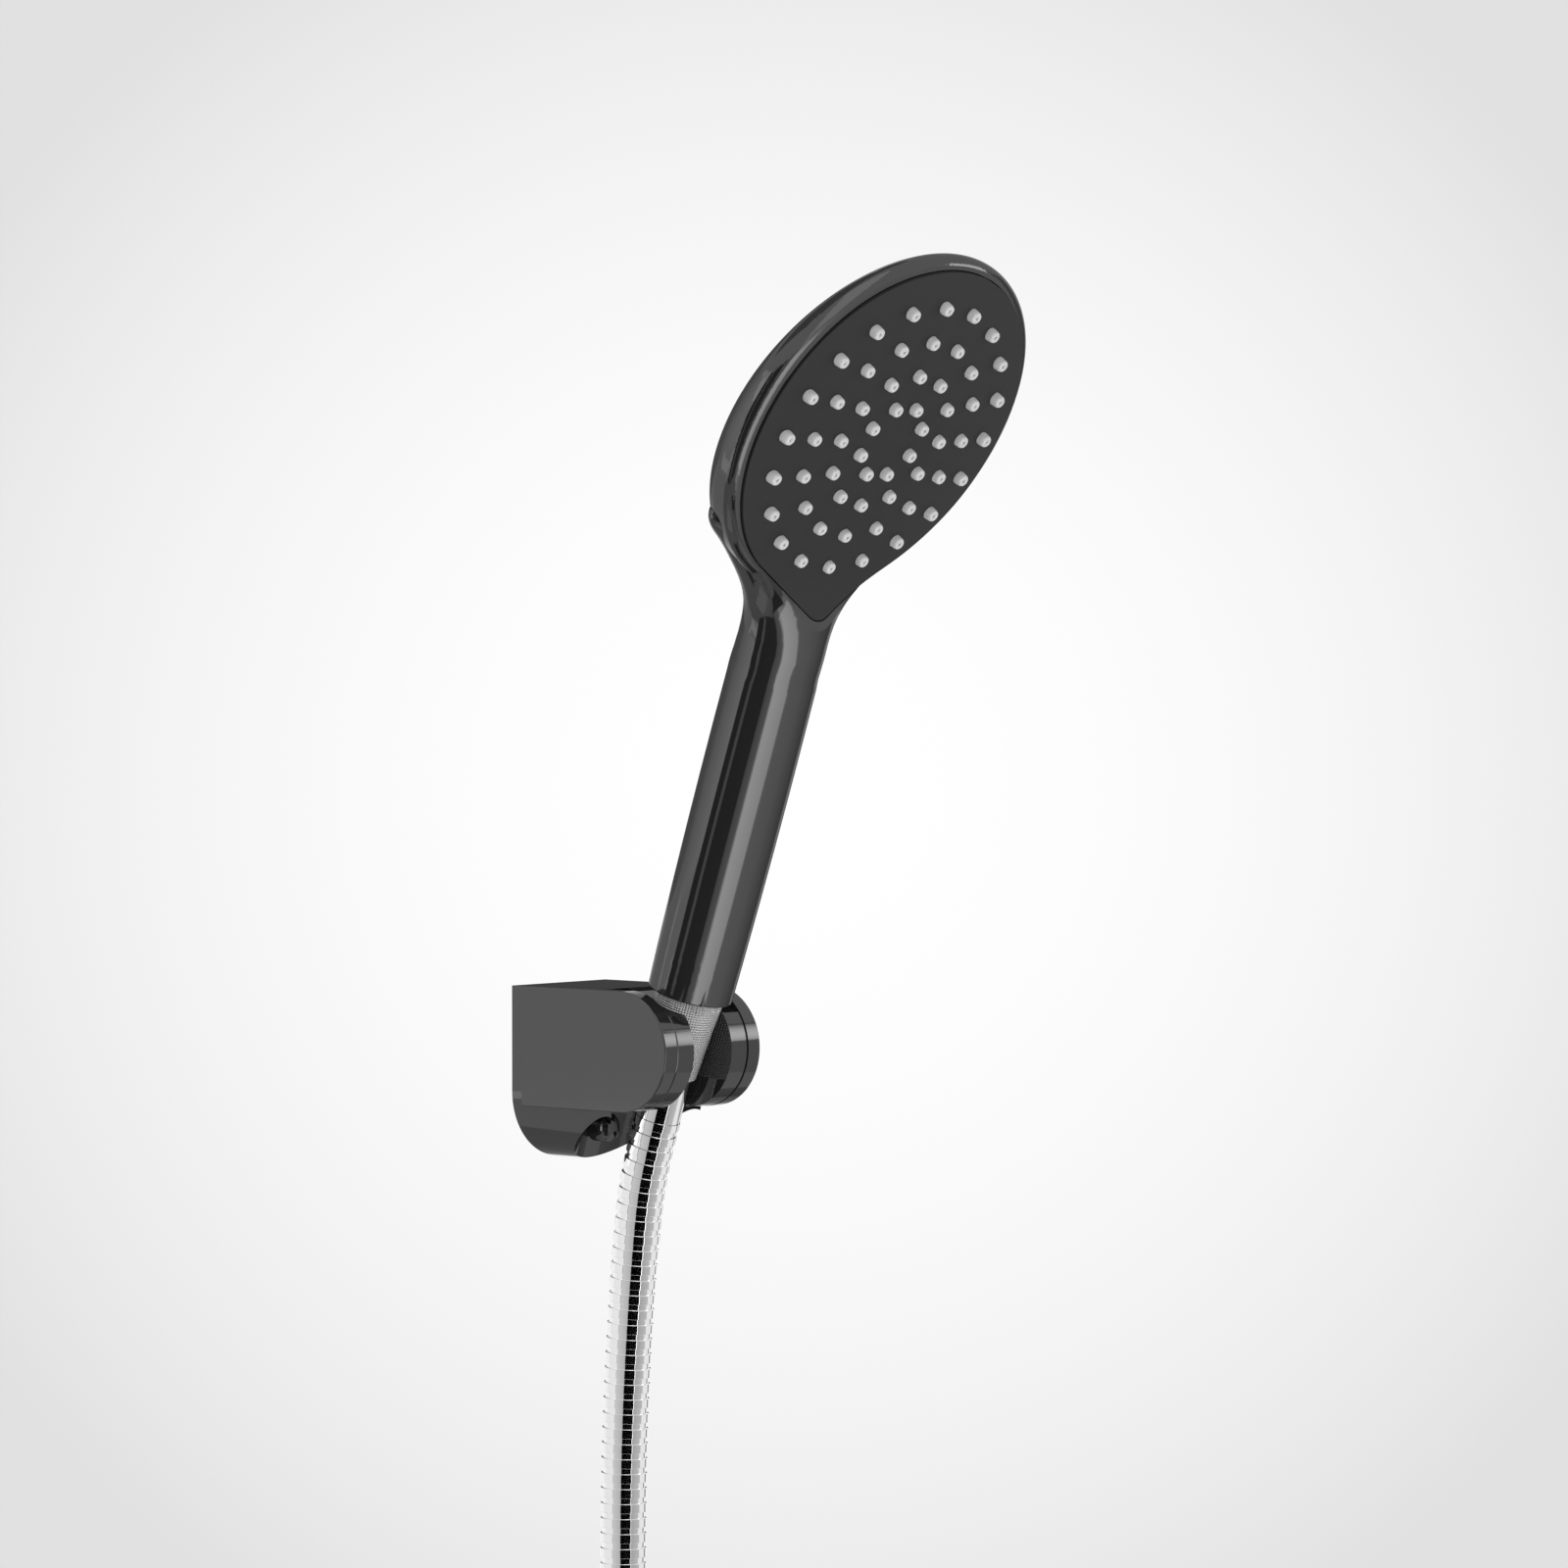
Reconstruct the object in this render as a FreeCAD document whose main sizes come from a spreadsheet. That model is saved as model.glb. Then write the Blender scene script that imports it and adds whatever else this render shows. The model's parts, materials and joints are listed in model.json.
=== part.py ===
"""Handheld shower head with its hose and its tilting wall holder.

The origin is on the wall, behind the holder and midway between its two screw holes.
+Z is up, +X is to the right as one faces the wall, and the shower hangs in front, on -Y.
Sizes are in millimetres and angles in degrees.
"""
import FreeCAD, Part
import math
import os

import Sketcher
from FreeCAD import Placement, Rotation, Vector

X_AXIS = Vector(1, 0, 0)
Y_AXIS = Vector(0, 1, 0)
Z_AXIS = Vector(0, 0, 1)

SIZES = [
    # Wall holder
    ("swivel_reach", 45, "swivel axis in front of the wall"),
    ("swivel_rise", 6.5, "swivel axis above the origin"),
    ("holder_width", 42.2, "across the outer faces of the cheeks"),
    ("cheek_wall", 5.2, "thickness of one cheek"),
    ("cheek_radius", 18.1, "round nose of a cheek"),
    ("chin_radius", 20.7, "round bottom of the chin and of the wall plate"),
    ("chin_depth", 34.5, "lowest point of the chin below the swivel axis"),
    ("chin_front", 5, "front limit of the chin behind the swivel axis"),
    ("web_back", 11, "top edge of the web behind the swivel axis"),
    ("scoop_radius", 19.85, "hollow in the chin that clears the hose"),
    ("plate_thick", 4.3, "wall plate"),
    ("rib_width", 22, "dovetail rib of the wall plate"),
    ("rib_top", 19, "upper end of the rib above the origin"),
    ("rib_foot", 22, "lower end of the rib below the origin"),
    ("rib_deep", 7, "how far the rib stands into the holder body"),
    ("screw_pitch", 21, "between the two screw holes"),
    ("screw_hole", 4.6, "diameter of a screw hole"),
    ("screw_head", 8.6, "diameter of the recess for a screw head"),
    ("screw_head_deep", 5, "depth of that recess"),
    ("lock_drop", 25, "locking screw below the swivel axis"),
    ("lock_seat", 29.5, "seat of the locking screw's head behind the swivel axis"),
    ("lock_head", 4.3, "radius of the locking screw's head"),
    ("lock_tall", 6.6, "height of that head"),
    ("lock_shank", 2.5, "radius of the locking screw's shank"),
    ("lock_long", 13, "length of that shank"),
    ("lock_slot", 1.2, "width of its screwdriver slot"),
    ("lock_turn", 35, "angle of that slot from upright"),
    # Swivel cradle
    ("cradle_radius", 18, "swivel cradle"),
    ("cradle_top", 15, "flat top of the cradle above the swivel axis"),
    ("slot_width", 16.8, "front slot that the hose passes through"),
    ("side_gap", 0.3, "play between the cradle and each cheek, and behind it"),
    ("trunnion", 4, "radius of the cradle's two trunnions"),
    ("trunnion_long", 2.7, "how far each one stands into its cheek"),
    ("bush_radius", 6, "outer radius of a friction bush"),
    ("bush_deep", 3, "depth of its seat in the cheek"),
    ("relief", 22, "how far the hose can lean back inside the cradle"),
    # Handset
    ("tilt", 19.1, "lean of the handle from upright"),
    ("axis_shift", 2.7, "handle axis in front of the swivel axis"),
    ("foot", 19.1, "lower end of the handle above the swivel axis"),
    ("seam", 119, "joint between handle sleeve and head shell"),
    ("foot_radius", 12.85, "handle at its lower end"),
    ("grip_radius", 13.62, "handle at its middle"),
    ("seam_radius", 13.6, "handle at the joint"),
    ("sleeve_bore", 11.3, "radius inside the handle sleeve"),
    ("skirt_bore", 11.7, "radius of the open skirt round the nut"),
    ("skirt_deep", 10.4, "depth of the skirt"),
    ("shoulder_bore", 10.6, "radius through the shoulder above the skirt"),
    ("shoulder_thick", 2.5, "that shoulder"),
    ("spigot_radius", 10.48, "threaded inlet, half of a G 1/2 major diameter"),
    ("spigot_foot", 19.5, "lower end of the threaded inlet"),
    ("tube_radius", 7.5, "waterway tube outside"),
    ("tube_bore", 5, "waterway tube inside"),
    ("socket_radius", 8.4, "socket in the neck that takes the tube"),
    ("socket_top", 131, "upper end of the socket"),
    ("plug_long", 8, "how far the head shell's collar enters the sleeve"),
    ("channel_radius", 2.6, "water channel in the neck"),
    ("channel_back", 2.8, "water channel behind the handle axis"),
    ("fit", 0.1, "play between pieces that push together"),
    ("seal_thick", 1.2, "half thickness of an O-ring in the neck, uncompressed"),
    # Nut and hose end
    ("cone_top", 15.9, "top of the nut's cone above the swivel axis"),
    ("cone_top_radius", 10.15, "nut's cone at its top"),
    ("cone_foot", 6.7, "lower end of the nut's cone below the swivel axis"),
    ("cone_foot_radius", 8.2, "nut's cone at its lower end"),
    ("collar_radius", 10.3, "fluted collar of the nut"),
    ("collar_top", 18.6, "top of the fluted collar"),
    ("nut_radius", 11.4, "threaded head of the nut, inside the skirt"),
    ("nut_top", 28.9, "top of the threaded head"),
    ("flutes", 20, "number of flutes round the collar"),
    ("flute_radius", 1.1, "radius of one flute"),
    ("run_fit", 0.06, "play of a running fit"),
    ("ferrule_radius", 6.8, "crimped ferrule of the hose"),
    ("ferrule_bore", 4, "bore of the ferrule"),
    ("flange_radius", 9.1, "flange of the ferrule"),
    ("flange_thick", 2, "that flange"),
    ("hose_start", 21, "upper end of the hose below the swivel axis"),
    ("hose_radius", 7, "hose"),
    ("hose_hinge", 30, "bending point of the hose below the swivel axis"),
    ("hose_length", 1500, "length of the hose"),
    ("coil_radius", 84, "middle of the put-away coil's turns"),
    ("coil_pitch", 14.4, "from one turn to the next"),
    ("ramp_angle", 120, "part of the last turn that climbs to the front"),
    ("ramp_rise", 16.8, "how far it climbs"),
    ("tie_width", 9, "coil tie"),
    ("tie_thick", 1.2, "its thickness"),
    ("end_ferrule_long", 13, "ferrule at the far end"),
    ("hex_flats", 24, "hexagon nut across its flats"),
    ("hex_long", 14, "its length"),
    # Spray head
    ("head_pitch", 102.3, "spray direction from the handle axis"),
    ("face_back", 22.9, "middle of the spray face in front of the handle axis"),
    ("face_height", 199.8, "middle of the spray face along the handle"),
    ("shell_radius", 57.3, "head shell"),
    ("shell_rise", 2, "middle of the shell above the middle of the nozzles"),
    ("shell_deep", 25, "back of the head shell behind the nozzle tips"),
    ("rim_level", 6.6, "front rim behind the nozzle tips"),
    ("rim_round", 3.5, "rounding of the front rim"),
    ("edge_level", 11.4, "where the shell's back edge starts to round, behind the tips"),
    ("edge_round", 9, "rounding of the back edge"),
    ("back_lean", 5, "lean of the shell's back, which is deepest at the neck"),
    ("face_radius", 53.5, "round part of the face plate"),
    ("face_rise", 1.4, "middle of that round part above the middle of the nozzles"),
    ("tip_radius", 8, "pointed end of the face plate"),
    ("tip_drop", 51.4, "centre of that rounding below the middle"),
    ("face_level", 2.2, "middle of the face plate behind the nozzle tips"),
    ("face_thick", 2.6, "face plate"),
    ("face_gap", 0.35, "gap round the face plate"),
    ("crown_radius", 390, "crown of the face plate from side to side"),
    ("cavity_radius", 51.5, "water chamber"),
    ("cavity_deep", 20.5, "back of the water chamber"),
    ("cavity_edge", 13.5, "where the chamber's wall ends"),
    ("nozzle_base", 2.1, "radius of a nozzle at the face plate"),
    ("nozzle_tip", 1.75, "radius of a nozzle's tip"),
    ("nozzle_bore", 0.5, "radius of a nozzle's jet"),
    ("mat_radius", 50.6, "nozzle mat"),
    ("mat_level", 8.9, "front of the nozzle mat's sheet"),
    ("mat_thick", 1, "that sheet"),
    ("board_thick", 1.9, "distributor board behind the mat"),
    ("board_hole", 1.2, "radius of one hole in it"),
    ("chamber_seal", 0.85, "half thickness of the chamber's O-ring"),
    ("centre_screw", 1.5, "radius of the screw that holds mat and board"),
]

# Rings of nozzles: count, radius, how far their tips lie behind the first ring's, and
# the angle of the first nozzle from the top of the face.
RINGS = [
    (8, 11.8, 0.0, 22.5),
    (12, 21.8, 0.5, 0.0),
    (16, 32.65, 1.24, 0.0),
    (20, 43.8, 1.88, 0.0),
]

# Front of the head from its top down into the neck: height above the middle of the face
# and level of the surface in front of the first ring's tips.
FACE_LINE = [
    (64, -6.2), (56, -5.45), (48, -4.7), (40, -4.0), (32, -3.45), (24, -2.95), (16, -2.55),
    (8, -2.3), (0, -2.2), (-8, -2.3), (-16, -2.5), (-24, -2.85), (-32, -3.3), (-40, -3.65),
    (-48, -3.25), (-56, -0.6), (-64, 4.9), (-72, 12.2), (-80, 20.0), (-88, 28.0),
]

# The neck, as cuts across the handle axis: height, half width, front, back, and how
# square the back half of the cut is (2 is an ellipse, as the front half is).
NECK_CUTS = [
    (119, 13.6, 13.6, 13.6, 2.0),
    (127, 13.5, 13.55, 13.3, 2.0),
    (134, 13.9, 13.3, 12.6, 2.05),
    (141, 16.2, 12.7, 11.2, 2.2),
    (148, 21.5, 12.6, 8.9, 2.5),
    (155, 28.9, 13.0, 6.8, 2.8),
    (163, 38.5, 13.2, 5.6, 3.0),
    (172, 45.6, 13.5, 5.0, 3.0),
]

# The hose from its bending point down to the coil, chosen to hang as a hose does.
HOSE_ROUTE = [
    (0, -37.73, -22.7), (0, -33.8, -37.0), (0, -31.7, -53.5), (0, -29.8, -71.5),
    (0, -28.1, -92.5), (0, -26.9, -115.5), (0, -26.4, -137.5), (0, -26.3, -166),
    (-9.75, -26.3, -192.78), (-28.07, -26.3, -214.61), (-52.75, -26.3, -228.86),
]
COIL_START = 120
END_STEPS = 10

doc = FreeCAD.newDocument("handheld_shower")
sheet = doc.addObject("Spreadsheet::Sheet", "d")
sheet.Label = "driving dimensions"
for row, (alias, size, note) in enumerate(SIZES, start=1):
    sheet.set(f"A{row}", note)
    sheet.set(f"B{row}", str(size))
    sheet.setAlias(f"B{row}", alias)
doc.recompute()

subparts = []


def size(alias):
    """The sheet's value for one driving dimension."""
    return float(sheet.get(alias))


def spot(frame, x, y, z):
    """A point given in a frame, in the part's own frame."""
    return frame.multVec(Vector(x, y, z))


SWIVEL = Placement(Vector(0, -size("swivel_reach"), size("swivel_rise")), Rotation())
CRADLE = SWIVEL * Placement(Vector(), Rotation(X_AXIS, size("tilt")))
HANDLE = CRADLE * Placement(Vector(0, -size("axis_shift"), 0), Rotation())
HEAD = HANDLE * Placement(
    Vector(0, -size("face_back"), size("face_height")),
    Rotation(X_AXIS, size("head_pitch")),
)


# ---------------------------------------------------------------- building helpers


def new_body(label, frame):
    """An empty body; its features are drawn in the given frame."""
    body = doc.addObject("PartDesign::Body", label)
    body.Label = label
    body.Placement = frame
    subparts.append(body)
    return body


def sketch_on(body, role, across="0", up="0", out="0", turn="0"):
    """A sketch on one of the body's own planes, moved and turned in that plane."""
    sketch = body.newObject("Sketcher::SketchObject", body.Label + "_sketch")
    planes = [item for item in body.Origin.OriginFeatures if item.Role == role]
    sketch.AttachmentSupport = [(planes[0], "")]
    sketch.MapMode = "FlatFace"
    sketch.setExpression("AttachmentOffset.Base.x", across)
    sketch.setExpression("AttachmentOffset.Base.y", up)
    sketch.setExpression("AttachmentOffset.Base.z", out)
    sketch.setExpression("AttachmentOffset.Rotation.Angle", turn)
    return sketch


def drive(sketch, edge, end, direction, text):
    """Bind one coordinate of a sketch point to the sheet."""
    value = float(sketch.evalExpression(text))
    constraint = Sketcher.Constraint("Distance" + direction, -1, 1, edge, end, value)
    index = sketch.addConstraint(constraint)
    sketch.setExpression(f"Constraints[{index}]", text)


def outline(sketch, corners):
    """Close a chain of lines and arcs whose corners are expressions.

    A corner is (across, up). With four entries, the edge that reaches it is an arc
    through the point that the last two give.
    """
    spots = [[float(sketch.evalExpression(text)) for text in corner] for corner in corners]
    ends = []
    for index, place in enumerate(spots):
        start = Vector(spots[index - 1][0], spots[index - 1][1], 0)
        stop = Vector(place[0], place[1], 0)
        if len(place) == 2:
            edge = sketch.addGeometry(Part.LineSegment(start, stop), False)
            ends.append((edge, 1, 2))
            continue
        middle = Vector(place[2], place[3], 0)
        if (middle - start).cross(stop - middle).z > 0:
            edge = sketch.addGeometry(Part.Arc(start, middle, stop), False)
            ends.append((edge, 1, 2))
        else:
            edge = sketch.addGeometry(Part.Arc(stop, middle, start), False)
            ends.append((edge, 2, 1))
    for index, (edge, _, stop) in enumerate(ends):
        following, start, _ = ends[(index + 1) % len(ends)]
        corner = corners[index]
        sketch.addConstraint(Sketcher.Constraint("Coincident", edge, stop, following, start))
        drive(sketch, edge, stop, "X", corner[0])
        drive(sketch, edge, stop, "Y", corner[1])
        if len(corner) == 4:
            guide = Part.Point(Vector(spots[index][2], spots[index][3], 0))
            point = sketch.addGeometry(guide, True)
            drive(sketch, point, 1, "X", corner[2])
            drive(sketch, point, 1, "Y", corner[3])
            sketch.addConstraint(Sketcher.Constraint("PointOnObject", point, 1, edge))
    return sketch


def circle(sketch, across, up, radius):
    """A circle in a sketch, all three sizes bound to the sheet."""
    middle = Vector(
        float(sketch.evalExpression(across)), float(sketch.evalExpression(up)), 0
    )
    value = float(sketch.evalExpression(radius))
    edge = sketch.addGeometry(Part.Circle(middle, Z_AXIS, value), False)
    drive(sketch, edge, 3, "X", across)
    drive(sketch, edge, 3, "Y", up)
    index = sketch.addConstraint(Sketcher.Constraint("Radius", edge, value))
    sketch.setExpression(f"Constraints[{index}]", radius)
    return sketch


def box_outline(sketch, left, right, low, high):
    """A rectangle in a sketch."""
    return outline(sketch, [(left, low), (right, low), (right, high), (left, high)])


def add_feature(body, kind, sketch, length=None, both_ways=False, reverse=False):
    """Pad or pocket a sketch. Without a length a pocket goes right through."""
    feature = body.newObject("PartDesign::" + kind, body.Label + "_" + kind.lower())
    feature.Profile = sketch
    feature.Midplane = both_ways
    feature.Reversed = reverse
    if length is None:
        feature.Type = "ThroughAll"
    else:
        feature.setExpression("Length", length)
    doc.recompute()
    return feature


def turn_feature(body, kind, sketch):
    """Revolve or groove a sketch once round its own upright axis."""
    feature = body.newObject("PartDesign::" + kind, body.Label + "_" + kind.lower())
    feature.Profile = sketch
    feature.ReferenceAxis = (sketch, ["V_Axis"])
    feature.Angle = 360
    doc.recompute()
    return feature


def turned(label, frame, corners):
    """A turned piece: its outline is (radius, height), turned round the frame's Z."""
    body = new_body(label, frame)
    turn_feature(body, "Revolution", outline(sketch_on(body, "XZ_Plane"), corners))
    return body


def polar(body, features, count):
    """Repeat features round the body's Z axis."""
    pattern = body.newObject("PartDesign::PolarPattern", body.Label + "_polar")
    pattern.Originals = features
    axes = [item for item in body.Origin.OriginFeatures if item.Role == "Z_Axis"]
    pattern.Axis = (axes[0], [""])
    pattern.Angle = 360
    pattern.Occurrences = count
    body.Tip = pattern
    doc.recompute()
    return pattern


def soften(body, radius, chosen):
    """Round the edges of the body that the test picks."""
    base = body.Tip
    names = [f"Edge{i}" for i, edge in enumerate(base.Shape.Edges, start=1) if chosen(edge)]
    rounding = body.newObject("PartDesign::Fillet", body.Label + "_fillet")
    rounding.Base = (base, names)
    rounding.Radius = radius
    doc.recompute()
    return rounding


def made(label, shape, frame):
    """A piece whose shape is worked out here rather than drawn."""
    piece = doc.addObject("Part::Feature", label)
    piece.Label = label
    piece.Shape = shape
    piece.Placement = frame
    subparts.append(piece)
    return piece


def ring_seal(label, frame, height, radius, half_thick):
    """An O-ring whose sizes are expressions."""
    seal = doc.addObject("Part::Torus", label)
    seal.Label = label
    seal.setExpression("Radius1", radius)
    seal.setExpression("Radius2", half_thick)
    seal.Placement = frame * Placement(Vector(0, 0, height), Rotation())
    subparts.append(seal)
    return seal


# ---------------------------------------------------------------- wall holder

REAR = "d.swivel_reach - d.plate_thick"
CHIN_MIDDLE = "d.chin_radius - d.chin_depth"
INNER_WIDTH = "d.holder_width - 2 * d.cheek_wall"


def wall_plate():
    """Flat plate screwed to the wall, with the rib that the holder body slides over."""
    body = new_body("wall_plate", Placement())
    side = "d.chin_radius"
    foot = "d.swivel_rise + " + CHIN_MIDDLE
    top = "d.swivel_rise + d.cheek_radius"
    plate = sketch_on(body, "XZ_Plane")
    corners = [
        (side, foot, "0", "d.swivel_rise - d.chin_depth"),
        (side, top),
        ("-" + side, top),
        ("-" + side, foot),
    ]
    outline(plate, corners)
    add_feature(body, "Pad", plate, "d.plate_thick")
    rib = sketch_on(body, "XZ_Plane")
    box_outline(rib, "-d.rib_width / 2", "d.rib_width / 2", "-d.rib_foot", "d.rib_top")
    add_feature(body, "Pad", rib, "d.plate_thick + d.rib_deep")
    front = "d.plate_thick + d.rib_deep"
    for sign in ("", "-"):
        height = sign + "d.screw_pitch / 2"
        hole = circle(sketch_on(body, "XZ_Plane"), "0", height, "d.screw_hole / 2")
        add_feature(body, "Pocket", hole, both_ways=True)
        recess = sketch_on(body, "XZ_Plane", out=front)
        circle(recess, "0", height, "d.screw_head / 2")
        add_feature(body, "Pocket", recess, "d.screw_head_deep")
    lock = sketch_on(body, "XZ_Plane")
    circle(lock, "0", "d.swivel_rise - d.lock_drop", "d.lock_shank + d.fit")
    add_feature(body, "Pocket", lock, both_ways=True)
    return body


def holder_body():
    """Holder body: two cheeks, the web between them and the scooped chin below."""
    body = new_body("holder_body", SWIVEL)
    chin = sketch_on(body, "XZ_Plane", out="-(" + REAR + ")")
    side = "d.chin_radius"
    corners = [
        (side, CHIN_MIDDLE, "0", "-d.chin_depth"),
        (side, "-2"),
        ("-" + side, "-2"),
        ("-" + side, CHIN_MIDDLE),
    ]
    outline(chin, corners)
    add_feature(body, "Pad", chin, REAR + " - d.chin_front")
    scoop = sketch_on(body, "YZ_Plane", turn="d.tilt")
    box_outline(scoop, "0", "d.scoop_radius", "-2 * d.chin_depth", "d.chin_depth / 2")
    turn_feature(body, "Groove", scoop)

    cheeks = sketch_on(body, "YZ_Plane")
    corners = [
        (REAR, "-d.cheek_radius"),
        (REAR, "d.cheek_radius"),
        ("0", "d.cheek_radius"),
        ("0", "-d.cheek_radius", "-d.cheek_radius", "0"),
    ]
    outline(cheeks, corners)
    add_feature(body, "Pad", cheeks, "d.holder_width", both_ways=True)
    edge = size("holder_width") / 2
    nose = size("cheek_radius")
    soften(
        body,
        min(0.6, 0.8 * (edge - size("chin_radius"))),
        lambda e: e.Curve.TypeId == "Part::GeomCircle"
        and abs(e.Curve.Radius - nose) < 0.01
        and abs(abs(e.BoundBox.Center.x) - edge) < 0.01,
    )
    room = "(d.cradle_radius + d.side_gap)"
    space = sketch_on(body, "YZ_Plane")
    corners = [
        ("-2 * " + room, "2 * d.cheek_radius"),
        ("-2 * " + room, "-" + room),
        ("0", "-" + room),
        ("d.web_back", f"sqrt({room} ^ 2 - d.web_back ^ 2)", room, "0"),
        ("d.web_back", "2 * d.cheek_radius"),
    ]
    outline(space, corners)
    add_feature(body, "Pocket", space, INNER_WIDTH, both_ways=True)
    way = sketch_on(body, "YZ_Plane", turn="d.tilt")
    corners = [
        ("-2 * d.scoop_radius", "0"),
        ("-2 * d.scoop_radius", "(2 * d.scoop_radius * sin(d.tilt) - d.cheek_radius) / cos(d.tilt)"),
        ("d.scoop_radius", "(-d.scoop_radius * sin(d.tilt) - d.cheek_radius) / cos(d.tilt)"),
        ("d.scoop_radius", "0"),
    ]
    outline(way, corners)
    add_feature(body, "Pocket", way, INNER_WIDTH, both_ways=True)

    rear = sketch_on(body, "XZ_Plane", out="-(" + REAR + ")")
    half = "(d.rib_width / 2 + d.fit)"
    low = "-d.rib_foot - d.swivel_rise - d.fit"
    box_outline(rear, "-" + half, half, low, "d.rib_top - d.swivel_rise + d.fit")
    add_feature(body, "Pocket", rear, "d.rib_deep + d.fit", reverse=True)
    seats = circle(sketch_on(body, "YZ_Plane"), "0", "0", "d.bush_radius")
    add_feature(body, "Pocket", seats, INNER_WIDTH + " + 2 * d.bush_deep", both_ways=True)
    lock = circle(sketch_on(body, "XZ_Plane"), "0", "-d.lock_drop", "d.lock_shank + d.fit")
    add_feature(body, "Pocket", lock, both_ways=True)
    seat = sketch_on(body, "XZ_Plane", out="-d.lock_seat")
    circle(seat, "0", "-d.lock_drop", "d.lock_head + d.side_gap")
    add_feature(body, "Pocket", seat, "2 * d.lock_tall", reverse=True)
    return body


def locking_screw():
    """Slotted screw that locks the holder body on the wall plate's rib."""
    frame = SWIVEL * Placement(
        Vector(0, size("lock_seat"), -size("lock_drop")), Rotation(X_AXIS, 90)
    )
    tall = "d.lock_tall"
    corners = [
        ("0", "-d.lock_long"),
        ("d.lock_shank", "-d.lock_long"),
        ("d.lock_shank", "0"),
        ("d.lock_head", "0"),
        ("d.lock_head", tall + " - 1"),
        ("0", tall, "0.7 * d.lock_head", tall + " - 0.35"),
    ]
    body = turned("locking_screw", frame, corners)
    slot = sketch_on(body, "XY_Plane", out=tall, turn="d.lock_turn")
    half = "d.lock_slot / 2"
    box_outline(slot, "-" + half, half, "-2 * d.lock_head", "2 * d.lock_head")
    add_feature(body, "Pocket", slot, "1.8")
    return body


# ---------------------------------------------------------------- swivel cradle

CONE_SLOPE = "(d.cone_top_radius - d.cone_foot_radius) / (d.cone_top + d.cone_foot)"
SEAT_END = f"(d.slot_width / 2 - d.run_fit - d.cone_foot_radius) / ({CONE_SLOPE}) - d.cone_foot"


def swivel_cradle():
    """Cradle that tilts between the cheeks and holds the nut's cone in its seat."""
    body = new_body("swivel_cradle", CRADLE)
    disc = sketch_on(body, "YZ_Plane")
    flat = "sqrt(d.cradle_radius ^ 2 - d.cradle_top ^ 2)"
    outline(disc, [(flat, "d.cradle_top"), ("-" + flat, "d.cradle_top"),
                   ("0", "-d.cradle_radius", "-d.cradle_radius", "0"),
                   (flat, "d.cradle_top", "d.cradle_radius", "0")][1:])
    add_feature(body, "Pad", disc, INNER_WIDTH + " - 2 * d.side_gap", both_ways=True)
    pins = circle(sketch_on(body, "YZ_Plane"), "0", "0", "d.trunnion")
    add_feature(body, "Pad", pins, INNER_WIDTH + " + 2 * d.trunnion_long", both_ways=True)
    seat = sketch_on(body, "YZ_Plane", across="-d.axis_shift")
    corners = [
        ("0", "d.cone_top"),
        ("0", "-2 * d.cradle_radius"),
        ("d.slot_width / 2", "-2 * d.cradle_radius"),
        ("d.slot_width / 2", SEAT_END),
        ("d.cone_top_radius + d.run_fit", "d.cone_top"),
    ]
    outline(seat, corners)
    turn_feature(body, "Groove", seat)
    slot = sketch_on(body, "XY_Plane")
    half = "d.slot_width / 2"
    box_outline(slot, "-" + half, half, "-2 * d.cradle_radius", "-d.axis_shift")
    add_feature(body, "Pocket", slot, both_ways=True)
    relief = sketch_on(body, "YZ_Plane", across="-d.axis_shift", turn="d.relief")
    box_outline(relief, "0", half, "-2 * d.cradle_radius", "0")
    turn_feature(body, "Groove", relief)
    rim = size("holder_width") / 2 - size("cheek_wall") - size("side_gap")
    radius = size("cradle_radius")
    soften(
        body,
        0.5,
        lambda e: e.Curve.TypeId == "Part::GeomCircle"
        and abs(e.Curve.Radius - radius) < 0.01
        and abs(abs(e.BoundBox.Center.x) - rim) < 0.01,
    )
    return body


def pivot_bush(label, side):
    """Friction bush between one trunnion and its cheek."""
    frame = SWIVEL * Placement(Vector(), Rotation(Y_AXIS, 90 * side))
    start = "(" + INNER_WIDTH + ") / 2 + d.fit"
    stop = "(" + INNER_WIDTH + ") / 2 + d.bush_deep"
    bore = "d.trunnion + d.run_fit"
    corners = [
        (bore, start),
        ("d.bush_radius", start),
        ("d.bush_radius", stop),
        (bore, stop),
    ]
    return turned(label, frame, corners)


# ---------------------------------------------------------------- handset

SHOULDER = "(d.foot + d.skirt_deep)"
SHOULDER_TOP = SHOULDER + " + d.shoulder_thick"
TUBE_TOP = "d.socket_top - 1"
SEAL_LOW = "(d.seam - 3)"
SEAL_HIGH = "(d.seam + 6)"
FLANGE_FOOT = "d.cone_top"
FLANGE_TOP = "(d.cone_top + d.flange_thick)"


def handle_sleeve():
    """Outer sleeve of the handle, with the skirt that hides the nut's thread."""
    corners = [
        ("d.skirt_bore", "d.foot"),
        ("d.foot_radius - 0.4", "d.foot"),
        ("d.foot_radius", "d.foot + 0.4", "d.foot_radius - 0.12", "d.foot + 0.12"),
        ("d.seam_radius", "d.seam", "d.grip_radius", "(d.foot + d.seam) / 2"),
        ("d.sleeve_bore", "d.seam"),
        ("d.sleeve_bore", SHOULDER_TOP),
        ("d.shoulder_bore", SHOULDER_TOP),
        ("d.shoulder_bore", SHOULDER),
        ("d.skirt_bore", SHOULDER),
    ]
    return turned("handle_sleeve", HANDLE, corners)


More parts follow.
